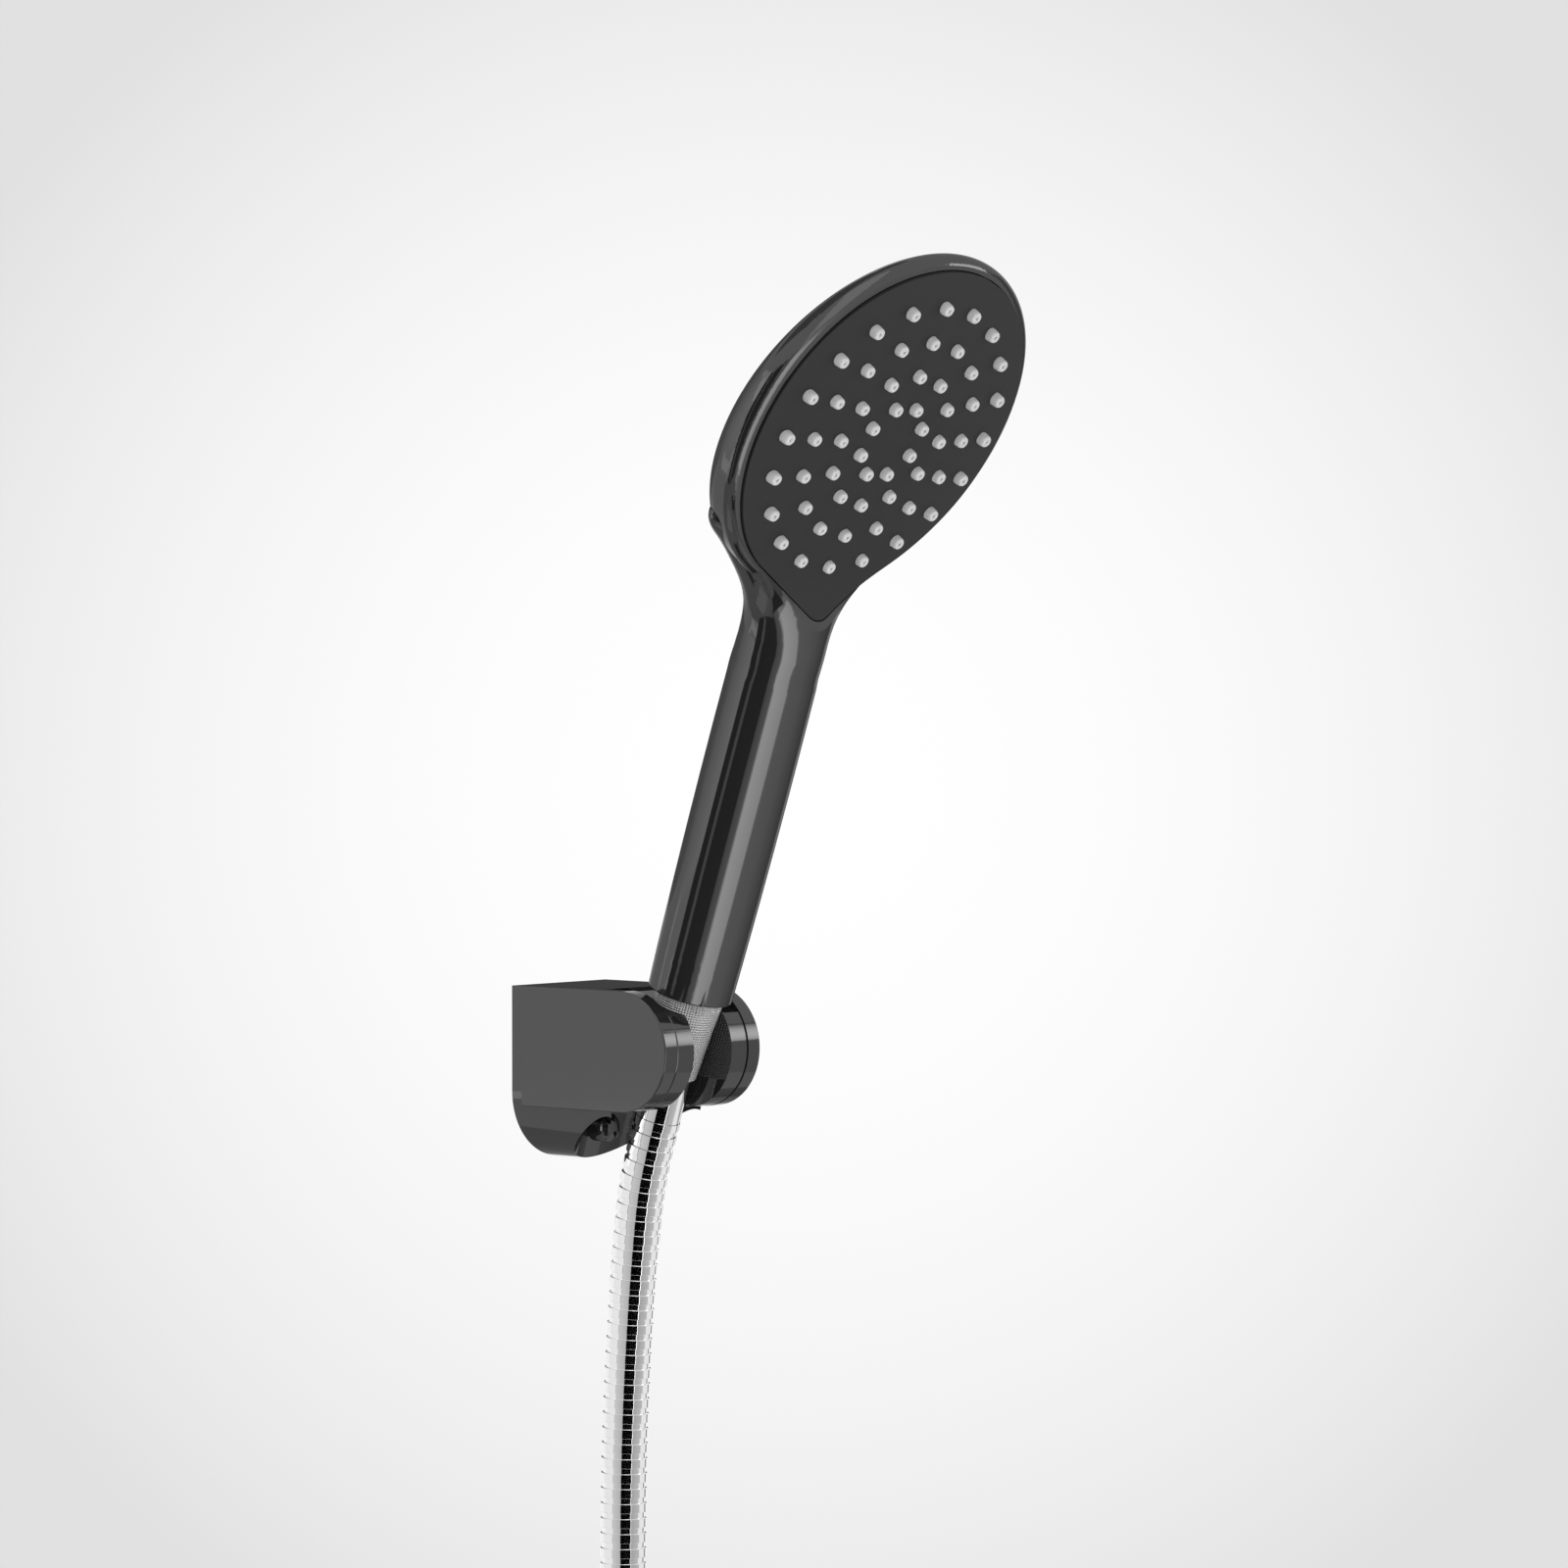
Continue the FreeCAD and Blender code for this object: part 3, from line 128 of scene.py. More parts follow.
class HoseSettings(bpy.types.PropertyGroup):
    """Sizes of the flexible hose."""

    length: bpy.props.FloatProperty(
        name="Length", description="Length of the whole hose", default=1.5,
        min=0.6, max=2.5, unit="LENGTH",
    )
    radius: bpy.props.FloatProperty(
        name="Radius", description="Outside radius of the wide bands", default=0.007,
        unit="LENGTH",
    )
    groove: bpy.props.FloatProperty(
        name="Groove", description="How far the narrow bands lie below the wide ones",
        default=0.0005, unit="LENGTH",
    )
    pitch: bpy.props.FloatProperty(
        name="Pitch", description="Length of one wide and one narrow band",
        default=0.00456, unit="LENGTH",
    )
    coil_radius: bpy.props.FloatProperty(
        name="Coil Radius", description="Middle of the put-away turns", default=0.084,
        unit="LENGTH",
    )
    coil_pitch: bpy.props.FloatProperty(
        name="Coil Pitch", description="From one turn to the next", default=0.0144,
        unit="LENGTH",
    )
    ramp_rise: bpy.props.FloatProperty(
        name="Ramp Rise", description="How far the last turn climbs in front of the coil",
        default=0.0168, unit="LENGTH",
    )


class FinishSettings(bpy.types.PropertyGroup):
    """Colours of the visible pieces."""

    shell: bpy.props.FloatVectorProperty(
        name="Shell", description="Polished handset and holder", subtype="COLOR",
        default=(0.08, 0.08, 0.081), min=0, max=1,
    )
    face: bpy.props.FloatVectorProperty(
        name="Face", description="Matt spray face", subtype="COLOR",
        default=(0.017, 0.017, 0.018), min=0, max=1,
    )
    nozzle: bpy.props.FloatVectorProperty(
        name="Nozzle", description="Silicone nozzles", subtype="COLOR",
        default=(0.72, 0.72, 0.73), min=0, max=1,
    )
    chrome: bpy.props.FloatVectorProperty(
        name="Chrome", description="Hose, nut and ferrules", subtype="COLOR",
        default=(0.86, 0.86, 0.87), min=0, max=1,
    )
    knurl: bpy.props.FloatVectorProperty(
        name="Knurl", description="Knurled cone of the nut", subtype="COLOR",
        default=(0.5, 0.5, 0.505), min=0, max=1,
    )


class StageSettings(bpy.types.PropertyGroup):
    """Camera and studio."""

    azimuth: bpy.props.FloatProperty(
        name="Azimuth", description="Camera's turn about the object",
        default=math.radians(-48.5), subtype="ANGLE",
    )
    elevation: bpy.props.FloatProperty(
        name="Elevation", description="Camera's height above the horizon",
        default=math.radians(2), subtype="ANGLE",
    )
    distance: bpy.props.FloatProperty(
        name="Distance", description="Camera to the swivel axis", default=2.353,
        unit="LENGTH",
    )
    lens: bpy.props.FloatProperty(
        name="Lens", description="Focal length", default=180, subtype="DISTANCE_CAMERA",
    )
    fill: bpy.props.FloatProperty(
        name="Fill", description="Level of the even light from all round", default=0.62,
        subtype="FACTOR",
    )


# ---------------------------------------------------------------- node helpers


def new_tree(material):
    """A cleared node tree with the output and shader in place."""
    material.use_nodes = True
    tree = material.node_tree
    tree.nodes.clear()
    output = tree.nodes.new("ShaderNodeOutputMaterial")
    shader = tree.nodes.new("ShaderNodeBsdfPrincipled")
    tree.links.new(shader.outputs["BSDF"], output.inputs["Surface"])
    return tree, shader


def add_node(tree, kind, **values):
    """A node with some of its attributes or inputs set."""
    node = tree.nodes.new(kind)
    for name, value in values.items():
        if hasattr(node, name):
            setattr(node, name, value)
        else:
            node.inputs[name.replace("_", " ")].default_value = value
    return node


def math_node(tree, operation, first, second=None, third=None):
    """A Math node whose inputs are sockets or numbers."""
    node = tree.nodes.new("ShaderNodeMath")
    node.operation = operation
    for index, value in enumerate((first, second, third)):
        if value is None:
            continue
        if isinstance(value, (int, float)):
            node.inputs[index].default_value = value
        else:
            tree.links.new(value, node.inputs[index])
    return node.outputs[0]


def new_group(name, inputs, outputs):
    """A shader node group with its sockets; returns the tree and both end nodes."""
    tree = bpy.data.node_groups.new(name, "ShaderNodeTree")
    for label, kind, value in inputs:
        item = tree.interface.new_socket(label, in_out="INPUT", socket_type=kind)
        item.default_value = value
    for label, kind in outputs:
        tree.interface.new_socket(label, in_out="OUTPUT", socket_type=kind)
    return tree, tree.nodes.new("NodeGroupInput"), tree.nodes.new("NodeGroupOutput")


def moulded_skin():
    """Group: moulding grain as colour, roughness and normal."""
    if "Moulded Skin" in bpy.data.node_groups:
        return bpy.data.node_groups["Moulded Skin"]
    tree, given, result = new_group(
        "Moulded Skin",
        [
            ("Color", "NodeSocketColor", (0.1, 0.1, 0.1, 1)),
            ("Roughness", "NodeSocketFloat", 0.1),
            ("Grain Size", "NodeSocketFloat", 900.0),
            ("Grain Depth", "NodeSocketFloat", 0.05),
            ("Variation", "NodeSocketFloat", 0.05),
        ],
        [
            ("Color", "NodeSocketColor"),
            ("Roughness", "NodeSocketFloat"),
            ("Normal", "NodeSocketVector"),
        ],
    )
    links = tree.links
    place = tree.nodes.new("ShaderNodeTexCoord").outputs["Object"]
    broad = add_node(tree, "ShaderNodeTexNoise", Scale=45.0, Detail=3.0)
    fine = add_node(tree, "ShaderNodeTexNoise", Detail=2.0)
    links.new(place, broad.inputs["Vector"])
    links.new(place, fine.inputs["Vector"])
    links.new(given.outputs["Grain Size"], fine.inputs["Scale"])
    swing = math_node(tree, "MULTIPLY_ADD", broad.outputs["Fac"], 2.0, -1.0)
    change = math_node(tree, "MULTIPLY", swing, given.outputs["Variation"])
    level = math_node(tree, "ADD", change, 1.0)
    tint = tree.nodes.new("ShaderNodeVectorMath")
    tint.operation = "SCALE"
    links.new(given.outputs["Color"], tint.inputs[0])
    links.new(level, tint.inputs["Scale"])
    links.new(tint.outputs[0], result.inputs["Color"])
    rough = math_node(tree, "MULTIPLY", given.outputs["Roughness"], level)
    links.new(rough, result.inputs["Roughness"])
    bump = add_node(tree, "ShaderNodeBump", Distance=0.0002)
    links.new(given.outputs["Grain Depth"], bump.inputs["Strength"])
    links.new(fine.outputs["Fac"], bump.inputs["Height"])
    links.new(bump.outputs["Normal"], result.inputs["Normal"])
    return tree


def skin_material(name, color, roughness, grain=900.0, depth=0.05, variation=0.05, metallic=0.0):
    """A moulded or cast surface finished by the Moulded Skin group."""
    material = bpy.data.materials.new(name)
    tree, shader = new_tree(material)
    skin = tree.nodes.new("ShaderNodeGroup")
    skin.node_tree = moulded_skin()
    skin.inputs["Color"].default_value = (*color, 1)
    skin.inputs["Roughness"].default_value = roughness
    skin.inputs["Grain Size"].default_value = grain
    skin.inputs["Grain Depth"].default_value = depth
    skin.inputs["Variation"].default_value = variation
    tree.links.new(skin.outputs["Color"], shader.inputs["Base Color"])
    tree.links.new(skin.outputs["Roughness"], shader.inputs["Roughness"])
    tree.links.new(skin.outputs["Normal"], shader.inputs["Normal"])
    shader.inputs["Metallic"].default_value = metallic
    return material, tree, shader


def knurl_group():
    """Group: normal of a fine knurl round the handle's axis."""
    tree, given, result = new_group(
        "Knurl",
        [
            ("Around", "NodeSocketFloat", 38.0),
            ("Along", "NodeSocketFloat", 4000.0),
            ("Depth", "NodeSocketFloat", 0.5),
        ],
        [("Normal", "NodeSocketVector")],
    )
    place = tree.nodes.new("ShaderNodeTexCoord").outputs["Object"]
    seat = tree.nodes.new("ShaderNodeMapping")
    seat.vector_type = "TEXTURE"
    seat.inputs["Location"].default_value = HANDLE_FOOT
    seat.inputs["Rotation"].default_value = (math.atan2(-HANDLE_AXIS.y, HANDLE_AXIS.z), 0, 0)
    tree.links.new(place, seat.inputs["Vector"])
    split = tree.nodes.new("ShaderNodeSeparateXYZ")
    tree.links.new(seat.outputs["Vector"], split.inputs["Vector"])
    turn = math_node(tree, "ARCTAN2", split.outputs["Y"], split.outputs["X"])
    around = math_node(tree, "MULTIPLY", turn, given.outputs["Around"])
    along = math_node(tree, "MULTIPLY", split.outputs["Z"], given.outputs["Along"])
    left = math_node(tree, "SINE", math_node(tree, "ADD", around, along))
    right = math_node(tree, "SINE", math_node(tree, "SUBTRACT", around, along))
    height = math_node(tree, "MULTIPLY", left, right)
    bump = add_node(tree, "ShaderNodeBump", Distance=0.0003)
    tree.links.new(given.outputs["Depth"], bump.inputs["Strength"])
    tree.links.new(height, bump.inputs["Height"])
    tree.links.new(bump.outputs["Normal"], result.inputs["Normal"])
    return tree


def paint(material, *names):
    """Give CAD nodes one finish."""
    for name in names:
        data = frame["nodes"][name].data
        data.materials.clear()
        data.materials.append(material)


def new_object(name, mesh):
    """A linked object for a mesh, at the origin."""
    piece = bpy.data.objects.new(name, mesh)
    bpy.context.scene.collection.objects.link(piece)
    return piece


# ---------------------------------------------------------------- finishes


class SHOWER_OT_finishes(bpy.types.Operator):
    """Give every fixed part its finish"""

    bl_idname = "shower.finishes"
    bl_label = "Finish the Parts"

    def execute(self, context):
        colors = context.scene.shower_finish
        shell, _, shader = skin_material(
            "Polished Black", colors.shell, 0.07, grain=500, depth=0.006,
            variation=0.03, metallic=0.8,
        )
        shader.inputs["Specular Tint"].default_value = (0.52, 0.52, 0.52, 1)
        paint(
            shell, "handle_sleeve", "head_shell", "holder_body", "wall_plate", "swivel_cradle",
            "locking_screw",
        )
        face, _, shader = skin_material(
            "Matt Face", colors.face, 0.5, grain=2500, depth=0.12, variation=0.04,
        )
        shader.inputs["Specular IOR Level"].default_value = 0.28
        paint(face, "face_plate")
        inner, _, _ = skin_material("Inner Plastic", (0.7, 0.7, 0.69), 0.45)
        paint(inner, "waterway_tube", "flow_restrictor", "distributor")
        seal, _, _ = skin_material("Seal Rubber", (0.02, 0.02, 0.02), 0.6)
        paint(
            seal, "neck_seal_lower", "neck_seal_upper", "inlet_washer", "chamber_seal",
            "end_washer",
        )
        black, _, _ = skin_material("Matt Black Plastic", (0.022, 0.022, 0.023), 0.45, depth=0.1)
        paint(black, "pivot_bush_left", "pivot_bush_right", "coil_ties")
        steel, _, _ = skin_material(
            "Blackened Screw", (0.07, 0.07, 0.072), 0.3, grain=3000, depth=0.05, metallic=1.0,
        )
        paint(steel, "centre_screw")
        chrome = chrome_material(colors.chrome)
        paint(chrome, "hose_ferrule", "end_ferrule", "hex_nut")
        paint(knurled_chrome(colors.knurl), "conical_nut")
        return {"FINISHED"}


def chrome_material(color):
    """Bright chrome, shared by hose and fittings."""
    if "Bright Chrome" in bpy.data.materials:
        return bpy.data.materials["Bright Chrome"]
    material, _, _ = skin_material(
        "Bright Chrome", color, 0.05, grain=600, depth=0.004, variation=0.03, metallic=1.0,
    )
    return material


def knurled_chrome(color):
    """Chrome with the fine knurl of the cone."""
    material, tree, shader = skin_material(
        "Knurled Chrome", color, 0.38, variation=0.04, metallic=0.7,
    )
    knurl = tree.nodes.new("ShaderNodeGroup")
    knurl.node_tree = knurl_group()
    knurl.inputs["Depth"].default_value = 0.7
    tree.links.new(knurl.outputs["Normal"], shader.inputs["Normal"])
    return material


# ---------------------------------------------------------------- hose


def coil_points(hose, spare):
    """Control points of the put-away turns, and of the climb to the far end."""
    entry = Vector(HOSE_ROUTE[-1])
    middle = entry - hose.coil_radius * Vector((math.cos(COIL_START), 0, math.sin(COIL_START)))
    total = spare / hose.coil_radius
    swell = 1 / math.cos(COIL_STEP / 2)
    turned = COIL_STEP
    points = []
    while turned < total - 0.5 * COIL_STEP:
        points.append(coil_spot(hose, middle, turned, total, swell))
        turned += COIL_STEP
    # The last of them gives way to one close to the end, which keeps the end round.
    before = coil_spot(hose, middle, total - 0.4 * COIL_STEP, total, 1.004)
    end = coil_spot(hose, middle, total, total, 1.0)
    return points[:-1] + [before, end]


def coil_spot(hose, middle, turned, total, swell):
    """One control point on the turns; swell puts it outside the curve that it pulls."""
    climb_from = total - COIL_RAMP
    share = min(1.0, max(0.0, (turned - climb_from) / COIL_RAMP))
    climb = hose.ramp_rise * share * share * (3 - 2 * share)
    along = -hose.coil_pitch * turned / (2 * math.pi) - climb
    angle = COIL_START + turned
    around = Vector((math.cos(angle), 0, math.sin(angle))) * hose.coil_radius * swell
    return middle + around + Vector((0, along, 0))


def route_curve(hose):
    """The hose's centre line as one smooth spline."""
    top = HOSE_BEND + HANDLE_AXIS * HOSE_INSIDE
    drop = [top] + [Vector(point) for point in HOSE_ROUTE]
    points = drop + coil_points(hose, hose.length - HOSE_INSIDE - HOSE_DROP)
    curve = bpy.data.curves.new("hose_line", "CURVE")
    curve.dimensions = "3D"
    curve.resolution_u = 10
    spline = curve.splines.new("NURBS")
    spline.points.add(len(points) - 1)
    for place, point in zip(spline.points, points):
        place.co = (*point, 1)
    spline.order_u = 3
    spline.use_endpoint_u = True
    return new_object("hose_line", curve)


class SHOWER_OT_hose(bpy.types.Operator):
    """Build the ringed metal hose from its ferrule to the far end"""

    bl_idname = "shower.hose"
    bl_label = "Build the Hose"

    def execute(self, context):
        hose = context.scene.shower_hose
        line = route_curve(hose)
        context.view_layer.update()
        path_mesh = bpy.data.meshes.new_from_object(line)
        path = [vertex.co.copy() for vertex in path_mesh.vertices]
        length = sum((b - a).length for a, b in zip(path, path[1:]))
        links = round(length / hose.pitch)
        tube = new_object("hose_link", self.link_mesh(hose, length / links))
        repeat = tube.modifiers.new("Links", "ARRAY")
        repeat.count = links
        repeat.use_relative_offset = False
        repeat.use_constant_offset = True
        repeat.constant_offset_displace = (length / links, 0, 0)
        repeat.use_merge_vertices = True
        repeat.merge_threshold = 0.00001
        bend = tube.modifiers.new("Route", "CURVE")
        bend.object = line
        bend.deform_axis = "POS_X"
        graph = context.evaluated_depsgraph_get()
        mesh = bpy.data.meshes.new_from_object(tube.evaluated_get(graph))
        mesh.name = "hose"
        bpy.data.objects.remove(tube)
        bpy.data.objects.remove(line)
        skin = new_object("hose", mesh)
        mesh.materials.clear()
        mesh.materials.append(chrome_material(context.scene.shower_finish.chrome))
        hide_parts("hose_top", "hose_drop", "hose_coil", "hose_end")
        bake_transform(skin)
        return {"FINISHED"}

    def link_mesh(self, hose, pitch):
        """One wide and one narrow band, spun round the X axis."""
        wide = WIDE_SHARE * pitch
        low = hose.radius - hose.groove
        profile = [
            (0, low), (LIP, hose.radius - LIP), (2 * LIP, hose.radius),
            (wide - 2 * LIP, hose.radius), (wide - LIP, hose.radius - LIP), (wide, low),
            (pitch, low),
        ]
        mesh = bpy.data.meshes.new("hose_link")
        build = bmesh.new()
        chain = [build.verts.new((x, 0, r)) for x, r in profile]
        edges = [build.edges.new(pair) for pair in zip(chain, chain[1:])]
        bmesh.ops.spin(
            build, geom=chain + edges, cent=(0, 0, 0), axis=(1, 0, 0),
            angle=2 * math.pi, steps=HOSE_SIDES, use_merge=True,
        )
        bmesh.ops.recalc_face_normals(build, faces=build.faces)
        for face in build.faces:
            face.smooth = True
        # The open ends stay sharp too, or the links would shade into one another.
        for edge in build.edges:
            if len(edge.link_faces) < 2 or edge.calc_face_angle() > HOSE_SHARP:
                edge.smooth = False
        build.to_mesh(mesh)
        build.free()
        return mesh


# ---------------------------------------------------------------- nozzles


class SHOWER_OT_nozzles(bpy.types.Operator):
    """Build the silicone mat with its rounded nozzles"""

    bl_idname = "shower.nozzles"
    bl_label = "Build the Nozzles"

    def execute(self, context):
        build = bmesh.new()
        for count, radius, drop, first in RINGS:
            for step in range(count):
                angle = math.radians(first + 360 * step / count)
                place = Vector((radius * math.sin(angle), radius * math.cos(angle), -drop))
                self.add_nozzle(build, place)
        self.add_sheet(build)
        for face in build.faces:
            face.smooth = True
        for edge in build.edges:
            if len(edge.link_faces) == 2 and edge.calc_face_angle() > NOZZLE_SHARP:
                edge.smooth = False
        build.transform(Matrix.Translation(FACE_MIDDLE) @ FACE_TURN.to_4x4())
        mesh = bpy.data.meshes.new("nozzles")
        build.to_mesh(mesh)
        build.free()
        color = context.scene.shower_finish.nozzle
        rubber, _, shader = skin_material(
            "Silicone", color, 0.42, grain=1500, depth=0.05, variation=0.04,
        )
        shader.inputs["Subsurface Weight"].default_value = 0.15
        shader.inputs["Subsurface Radius"].default_value = (0.001, 0.001, 0.001)
        mesh.materials.append(rubber)
        piece = new_object("nozzles", mesh)
        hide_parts("nozzle_mat")
        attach(piece, "handset")
        return {"FINISHED"}

    def add_nozzle(self, build, place):
        """One hollow nozzle, spun from its outline."""
        chain = [build.verts.new((r, 0, z)) for r, z in NOZZLE_OUTLINE]
        edges = [build.edges.new(pair) for pair in zip(chain, chain[1:])]
        bmesh.ops.spin(
            build, geom=chain + edges, cent=(0, 0, 0), axis=(0, 0, 1),
            angle=2 * math.pi, steps=NOZZLE_SIDES, use_merge=True,
        )
        fresh = set()
        for vert in chain:
            fresh.update(self.island(vert))
        fresh = list(fresh)
        faces = {face for vert in fresh for face in vert.link_faces}
        bmesh.ops.recalc_face_normals(build, faces=list(faces))
        bmesh.ops.translate(build, verts=fresh, vec=place)

    def island(self, vert):
        """All vertices joined to one."""
        seen = {vert}
        queue = [vert]
        while queue:
            for edge in queue.pop().link_edges:
                for other in edge.verts:
                    if other not in seen:
                        seen.add(other)
                        queue.append(other)
        return seen

    def add_sheet(self, build):
        """The mat's sheet behind the face."""
        made = bmesh.ops.create_cone(
            build, cap_ends=True, segments=96, radius1=SHEET_RADIUS, radius2=SHEET_RADIUS,
            depth=SHEET_THICK,
        )
        bmesh.ops.translate(build, verts=made["verts"], vec=(0, 0, SHEET_LEVEL))


# ---------------------------------------------------------------- stage

# Where the camera aims, right of and above the swivel axis.
AIM_RIGHT = 0.0347
AIM_UP = 0.0794

# The backdrop: how fast it darkens away from the middle of the view, and its lowest level.
FADE_RATE = 32.4
FADE_LEVEL = 0.75

FLOOR_LEVEL = -0.9
FLOOR_RADIUS = 2.6

# Middle of the handle's lower part, which the lamps and the handle's panels face.
HANDLE_MIDDLE = HANDLE_FOOT + HANDLE_AXIS * 0.07

# Soft lamps: name, place from there, width, length and level.
LAMPS = [
    ("front_lamp", (-0.26775, -0.57675, -0.39825), 0.5, 0.8, 1.6),
    ("left_lamp", (-0.6408, 0.6309, 0.09), 0.5, 1.0, 0.8),
]

# What the polished handle shows: span of twice the angle round it, distance of the panel,
# its reach down and up along the handle, and its level from one side to the other.
HANDLE_BANDS = [
    ("left_edge", (-165, -118), 0.9, (0.04, 0.55), (0.1, 0.75)),
    ("left", (-118, -66), 0.9, (0.04, 0.55), (0.8, 1.6)),
    ("dark", (-66, -6), 0.8, (0.6, 0.6), (0.01, 0.03)),
    ("streak", (-51, -44), 0.75, (0.5, 0.6), (0.5, 0.6)),
    ("middle", (-6, 13), 0.8, (0.6, 0.6), (0.5, 0.9)),
    ("front", (13, 52), 0.8, (0.6, 0.6), (2.05, 1.1)),
    ("right", (52, 85), 0.8, (0.6, 0.6), (1.0, 0.85)),
    ("right_edge", (85, 140), 0.8, (0.6, 0.6), (0.85, 0.25)),
]

# The hose's panels: from its axis, their reach down, and their middle under its bending point.
HOSE_PANEL_DISTANCE = 0.13
HOSE_PANEL_DOWN = 0.3
HOSE_PANEL_DROP = 0.09

# What the hose shows: name, span of twice the angle round it, reach up and levels.
HOSE_BANDS = [
    ("left_edge", (-110, -60), 0.085, (0.9, 0.9)),
    ("left", (-60, -17), 0.085, (0.65, 0.5)),
    ("dark", (-17, 38), 0.05, (0.0, 0.0)),
    ("right", (38, 90), 0.047, (0.4, 0.55)),
    ("right_edge", (90, 130), 0.047, (0.9, 0.9)),
]

# What the holder shows: place from its swivel axis, width, height, level and whether it fades.
HOLDER_PANELS = [
    ("nose_glint", (0.711, -0.58, 0.247), 0.3, 0.42, 5.0, True),
    ("cheek", (-0.7111, 0.6291, -0.033), 0.5, 0.12, 0.35, False),
    ("holder_top", (0.7485, 0.6622, 0.075), 0.6, 0.13, 0.07, False),
]

# The same for the head, from the middle of its face.
HEAD_PANELS = [
    ("head_rim", (-0.273, -0.5, 0.564), 0.5, 1.3, 1.7, False),
    ("head_flank", (0.024, 0.42, 0.7), 0.8, 0.6, 0.3, False),
    ("tip_rim", (0.6, 0.5, -0.22), 0.4, 0.2, 0.1, False),
    ("neck_front", (0.142, -0.111, -0.018), 0.11, 0.12, 0.9, False),
]


def camera_axes(stage):
    """The camera's right, up and backward directions."""
    a, e = stage.azimuth, stage.elevation
    back = Vector((math.sin(a) * math.cos(e), -math.cos(a) * math.cos(e), math.sin(e)))
    right = Vector((math.cos(a), math.sin(a), 0))
    return right, back.cross(right), back


def make_camera(stage):
    """The camera, level and looking slightly down at the holder."""
    right, up, back = camera_axes(stage)
    data = bpy.data.cameras.new("camera")
    data.lens = stage.lens
    data.sensor_width = 36
    data.clip_end = 50
    camera = new_object("camera", data)
    place = SWIVEL + AIM_RIGHT * right + AIM_UP * up + stage.distance * back
    turn = Matrix((right, up, back)).transposed().to_4x4()
    camera.matrix_world = Matrix.Translation(place) @ turn
    bpy.context.scene.camera = camera


def aimed(name, data, place, target, along):
    """Place a lamp or panel so that it faces a target, its length along a direction."""
    piece = new_object(name, data)
    back = (place - target).normalized()
    long = (along - back * along.dot(back)).normalized()
    across = long.cross(back)
    turn = Matrix((across, long, back)).transposed().to_4x4()
    piece.matrix_world = Matrix.Translation(place) @ turn
    return piece


def soft_light(name, place, target, along, width, length, level):
    """A rectangular lamp of an even radiance that leaves no mirror image."""
    data = bpy.data.lights.new(name, "AREA")
    data.shape = "RECTANGLE"
    data.size = width
    data.size_y = length
    data.energy = level * math.pi * width * length
    data.specular_factor = 0
    aimed(name, data, place, target, along)


def mirror_panel(name, place, target, along, width, length, levels, fading=False):
    """A panel seen only in polished surfaces; its level runs from one side to the other.

    A fading one also falls to nothing at its lower and upper edges.
    """
    mesh = bpy.data.meshes.new(name)
    build = bmesh.new()
    bmesh.ops.create_grid(build, x_segments=1, y_segments=1, size=0.5)
    bmesh.ops.scale(build, verts=build.verts, vec=(width, length, 1))
    build.to_mesh(mesh)
    build.free()
    material = bpy.data.materials.new(name)
    material.use_nodes = True
    tree = material.node_tree
    tree.nodes.clear()
    split = tree.nodes.new("ShaderNodeSeparateXYZ")
    place_node = tree.nodes.new("ShaderNodeTexCoord")
    tree.links.new(place_node.outputs["Object"], split.inputs["Vector"])
    slope = (levels[1] - levels[0]) / width
    level = math_node(
        tree, "MULTIPLY_ADD", split.outputs["X"], slope, (levels[0] + levels[1]) / 2
    )
    if fading:
        off = math_node(tree, "MULTIPLY", split.outputs["Y"], 2 / length)
        bow = math_node(tree, "MULTIPLY", off, off)
        level = math_node(tree, "MULTIPLY", level, math_node(tree, "SUBTRACT", 1.0, bow))
    glow = tree.nodes.new("ShaderNodeEmission")
    glow.inputs["Color"].default_value = (1, 1, 1, 1)
    tree.links.new(level, glow.inputs["Strength"])
    output = tree.nodes.new("ShaderNodeOutputMaterial")
    tree.links.new(glow.outputs[0], output.inputs["Surface"])
    mesh.materials.append(material)
    panel = aimed(name, mesh, place, target, along)
    panel.visible_camera = False
    panel.visible_diffuse = False
    panel.visible_transmission = False
    panel.visible_shadow = False
    return panel


def mirrored_way(back, axis, degrees):
    """Direction that a polished rod shows the camera, by twice the angle round the rod."""
    along = back.dot(axis)
    middle = (back - axis * along).normalized()
    side = axis.cross(middle)
    turn = math.radians(degrees)
    level = math.sqrt(1 - along * along)
    return level * (middle * math.cos(turn) + side * math.sin(turn)) - axis * along


def mirror_band(name, back, axis, target, span, distance, reach, levels):
    """A mirror panel that a rod shows between two angles; reach is (down, up) along it."""
    way = mirrored_way(back, axis, sum(span) / 2)
    width = 2 * distance * math.tan(math.radians(span[1] - span[0]) / 2)
    place = target + way * distance
    panel = mirror_panel(name, place, target, axis, width, sum(reach), levels)
    panel.matrix_world = Matrix.Translation(axis * (reach[1] - reach[0]) / 2) @ panel.matrix_world


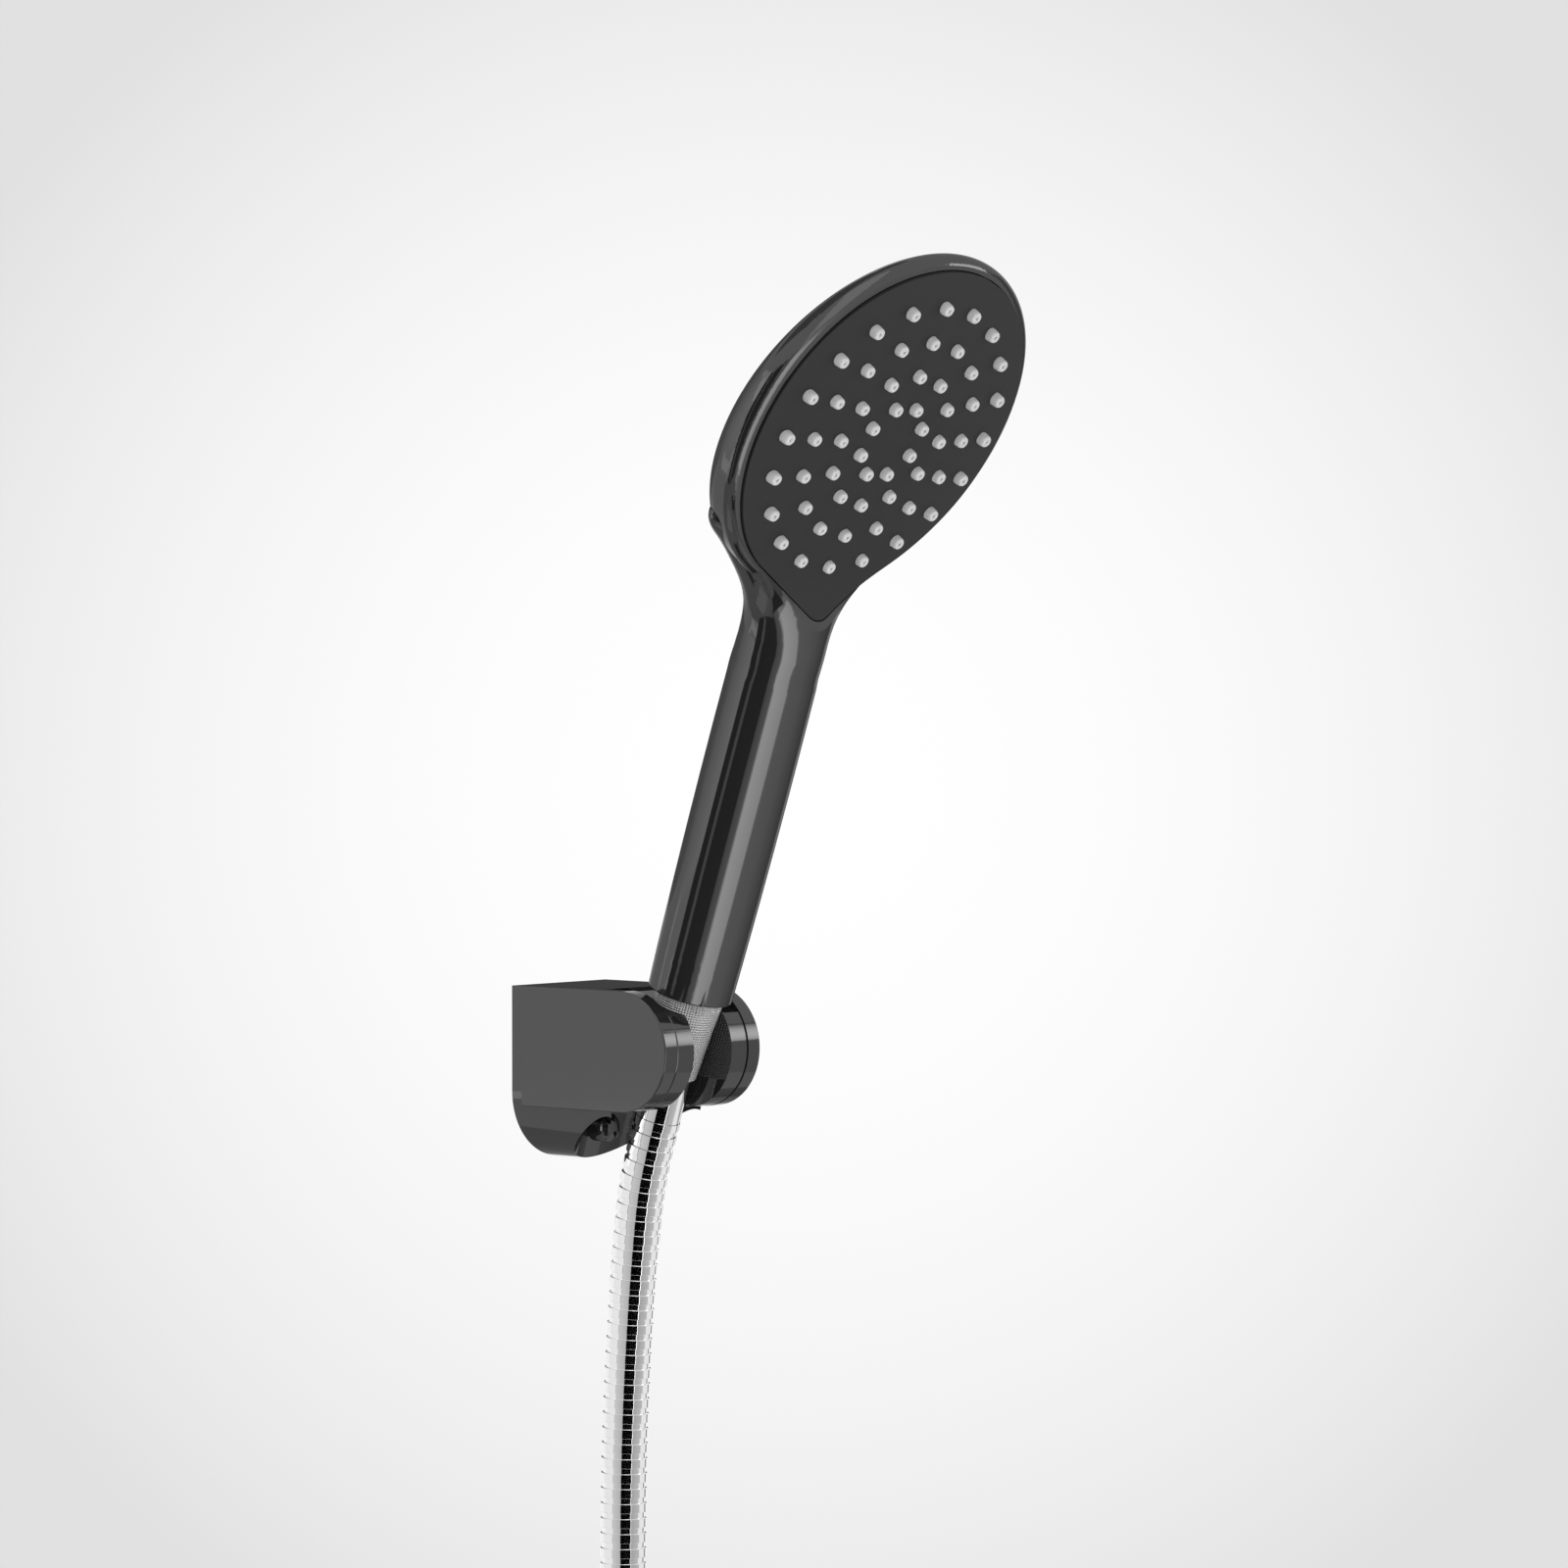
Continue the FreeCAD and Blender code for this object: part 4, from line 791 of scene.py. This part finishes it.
def make_world(stage):
    """Pale surroundings: even light, and a backdrop that fades outwards."""
    _, _, back = camera_axes(stage)
    world = bpy.data.worlds.new("studio")
    bpy.context.scene.world = world
    world.use_nodes = True
    tree = world.node_tree
    tree.nodes.clear()
    links = tree.links
    toward = tree.nodes.new("ShaderNodeTexCoord").outputs["Generated"]
    dot = tree.nodes.new("ShaderNodeVectorMath")
    dot.operation = "DOT_PRODUCT"
    links.new(toward, dot.inputs[0])
    dot.inputs[1].default_value = -back
    fade = math_node(tree, "MULTIPLY_ADD", dot.outputs["Value"], FADE_RATE, 1 - FADE_RATE)
    level = math_node(tree, "MAXIMUM", fade, FADE_LEVEL)
    backdrop = tree.nodes.new("ShaderNodeBackground")
    links.new(level, backdrop.inputs["Strength"])
    white = tree.nodes.new("ShaderNodeBackground")
    white.inputs["Strength"].default_value = 1.0
    even = tree.nodes.new("ShaderNodeBackground")
    even.inputs["Strength"].default_value = stage.fill
    for node in (backdrop, white, even):
        node.inputs["Color"].default_value = (1, 1, 1, 1)
    path = tree.nodes.new("ShaderNodeLightPath")
    mirrored = math_node(
        tree, "MAXIMUM", path.outputs["Is Glossy Ray"], path.outputs["Is Transmission Ray"]
    )
    first = tree.nodes.new("ShaderNodeMixShader")
    links.new(mirrored, first.inputs[0])
    links.new(even.outputs[0], first.inputs[1])
    links.new(white.outputs[0], first.inputs[2])
    second = tree.nodes.new("ShaderNodeMixShader")
    links.new(path.outputs["Is Camera Ray"], second.inputs[0])
    links.new(first.outputs[0], second.inputs[1])
    links.new(backdrop.outputs[0], second.inputs[2])
    output = tree.nodes.new("ShaderNodeOutputWorld")
    links.new(second.outputs[0], output.inputs["Surface"])


def make_floor():
    """A plain pale floor well below the hose."""
    mesh = bpy.data.meshes.new("floor")
    build = bmesh.new()
    bmesh.ops.create_circle(build, cap_ends=True, segments=96, radius=FLOOR_RADIUS)
    bmesh.ops.translate(build, verts=build.verts, vec=(0, 0, FLOOR_LEVEL))
    build.to_mesh(mesh)
    build.free()
    material, _, _ = skin_material("Pale Floor", (0.82, 0.82, 0.82), 0.8, variation=0.01)
    mesh.materials.append(material)
    new_object("floor", mesh)


class SHOWER_OT_stage(bpy.types.Operator):
    """Set the camera, the lamps, the floor and the backdrop"""

    bl_idname = "shower.stage"
    bl_label = "Set the Stage"

    def execute(self, context):
        stage = context.scene.shower_stage
        bpy.context.scene.view_settings.view_transform = "Standard"
        make_camera(stage)
        make_world(stage)
        make_floor()
        up = Vector((0, 0, 1))
        _, _, back = camera_axes(stage)
        for name, way, width, length, level in LAMPS:
            place = HANDLE_MIDDLE + Vector(way)
            soft_light(name, place, HANDLE_MIDDLE, HANDLE_AXIS, width, length, level)
        for name, span, distance, reach, levels in HANDLE_BANDS:
            mirror_band(
                "handle_" + name, back, HANDLE_AXIS, HANDLE_MIDDLE, span, distance, reach, levels
            )
        low = HOSE_BEND - up * HOSE_PANEL_DROP
        for name, span, reach_up, levels in HOSE_BANDS:
            mirror_band(
                "hose_" + name, back, up, low, span, HOSE_PANEL_DISTANCE,
                (HOSE_PANEL_DOWN, reach_up), levels,
            )
        for centre, panels in ((SWIVEL, HOLDER_PANELS), (FACE_MIDDLE, HEAD_PANELS)):
            for name, way, width, height, level, fading in panels:
                place = centre + Vector(way)
                mirror_panel(name, place, centre, up, width, height, (level, level), fading)
        return {"FINISHED"}


class SHOWER_PT_panel(bpy.types.Panel):
    """Steps that build the shower"""

    bl_idname = "SHOWER_PT_panel"
    bl_label = "Handheld Shower"
    bl_space_type = "VIEW_3D"
    bl_region_type = "UI"
    bl_category = "Shower"

    def draw(self, context):
        for step in STEPS:
            self.layout.operator(step.bl_idname)
        for group in ("shower_hose", "shower_finish", "shower_stage"):
            settings = getattr(context.scene, group)
            box = self.layout.box()
            for name in settings.bl_rna.properties.keys():
                if name not in ("name", "rna_type"):
                    box.prop(settings, name)


STEPS = (SHOWER_OT_stage, SHOWER_OT_hose, SHOWER_OT_finishes, SHOWER_OT_nozzles)
GROUPS = (HoseSettings, FinishSettings, StageSettings)


def register():
    """Register the settings, the operators and the panel."""
    for item in GROUPS + STEPS + (SHOWER_PT_panel,):
        bpy.utils.register_class(item)
    bpy.types.Scene.shower_hose = bpy.props.PointerProperty(type=HoseSettings)
    bpy.types.Scene.shower_finish = bpy.props.PointerProperty(type=FinishSettings)
    bpy.types.Scene.shower_stage = bpy.props.PointerProperty(type=StageSettings)


def unregister():
    """Take everything out again."""
    del bpy.types.Scene.shower_stage
    del bpy.types.Scene.shower_finish
    del bpy.types.Scene.shower_hose
    for item in reversed(GROUPS + STEPS + (SHOWER_PT_panel,)):
        bpy.utils.unregister_class(item)


def main():
    """Build the shower."""
    register()
    bpy.ops.shower.stage()
    bpy.ops.shower.hose()
    bpy.ops.shower.finishes()
    bpy.ops.shower.nozzles()


if __name__ == "__main__":
    main()
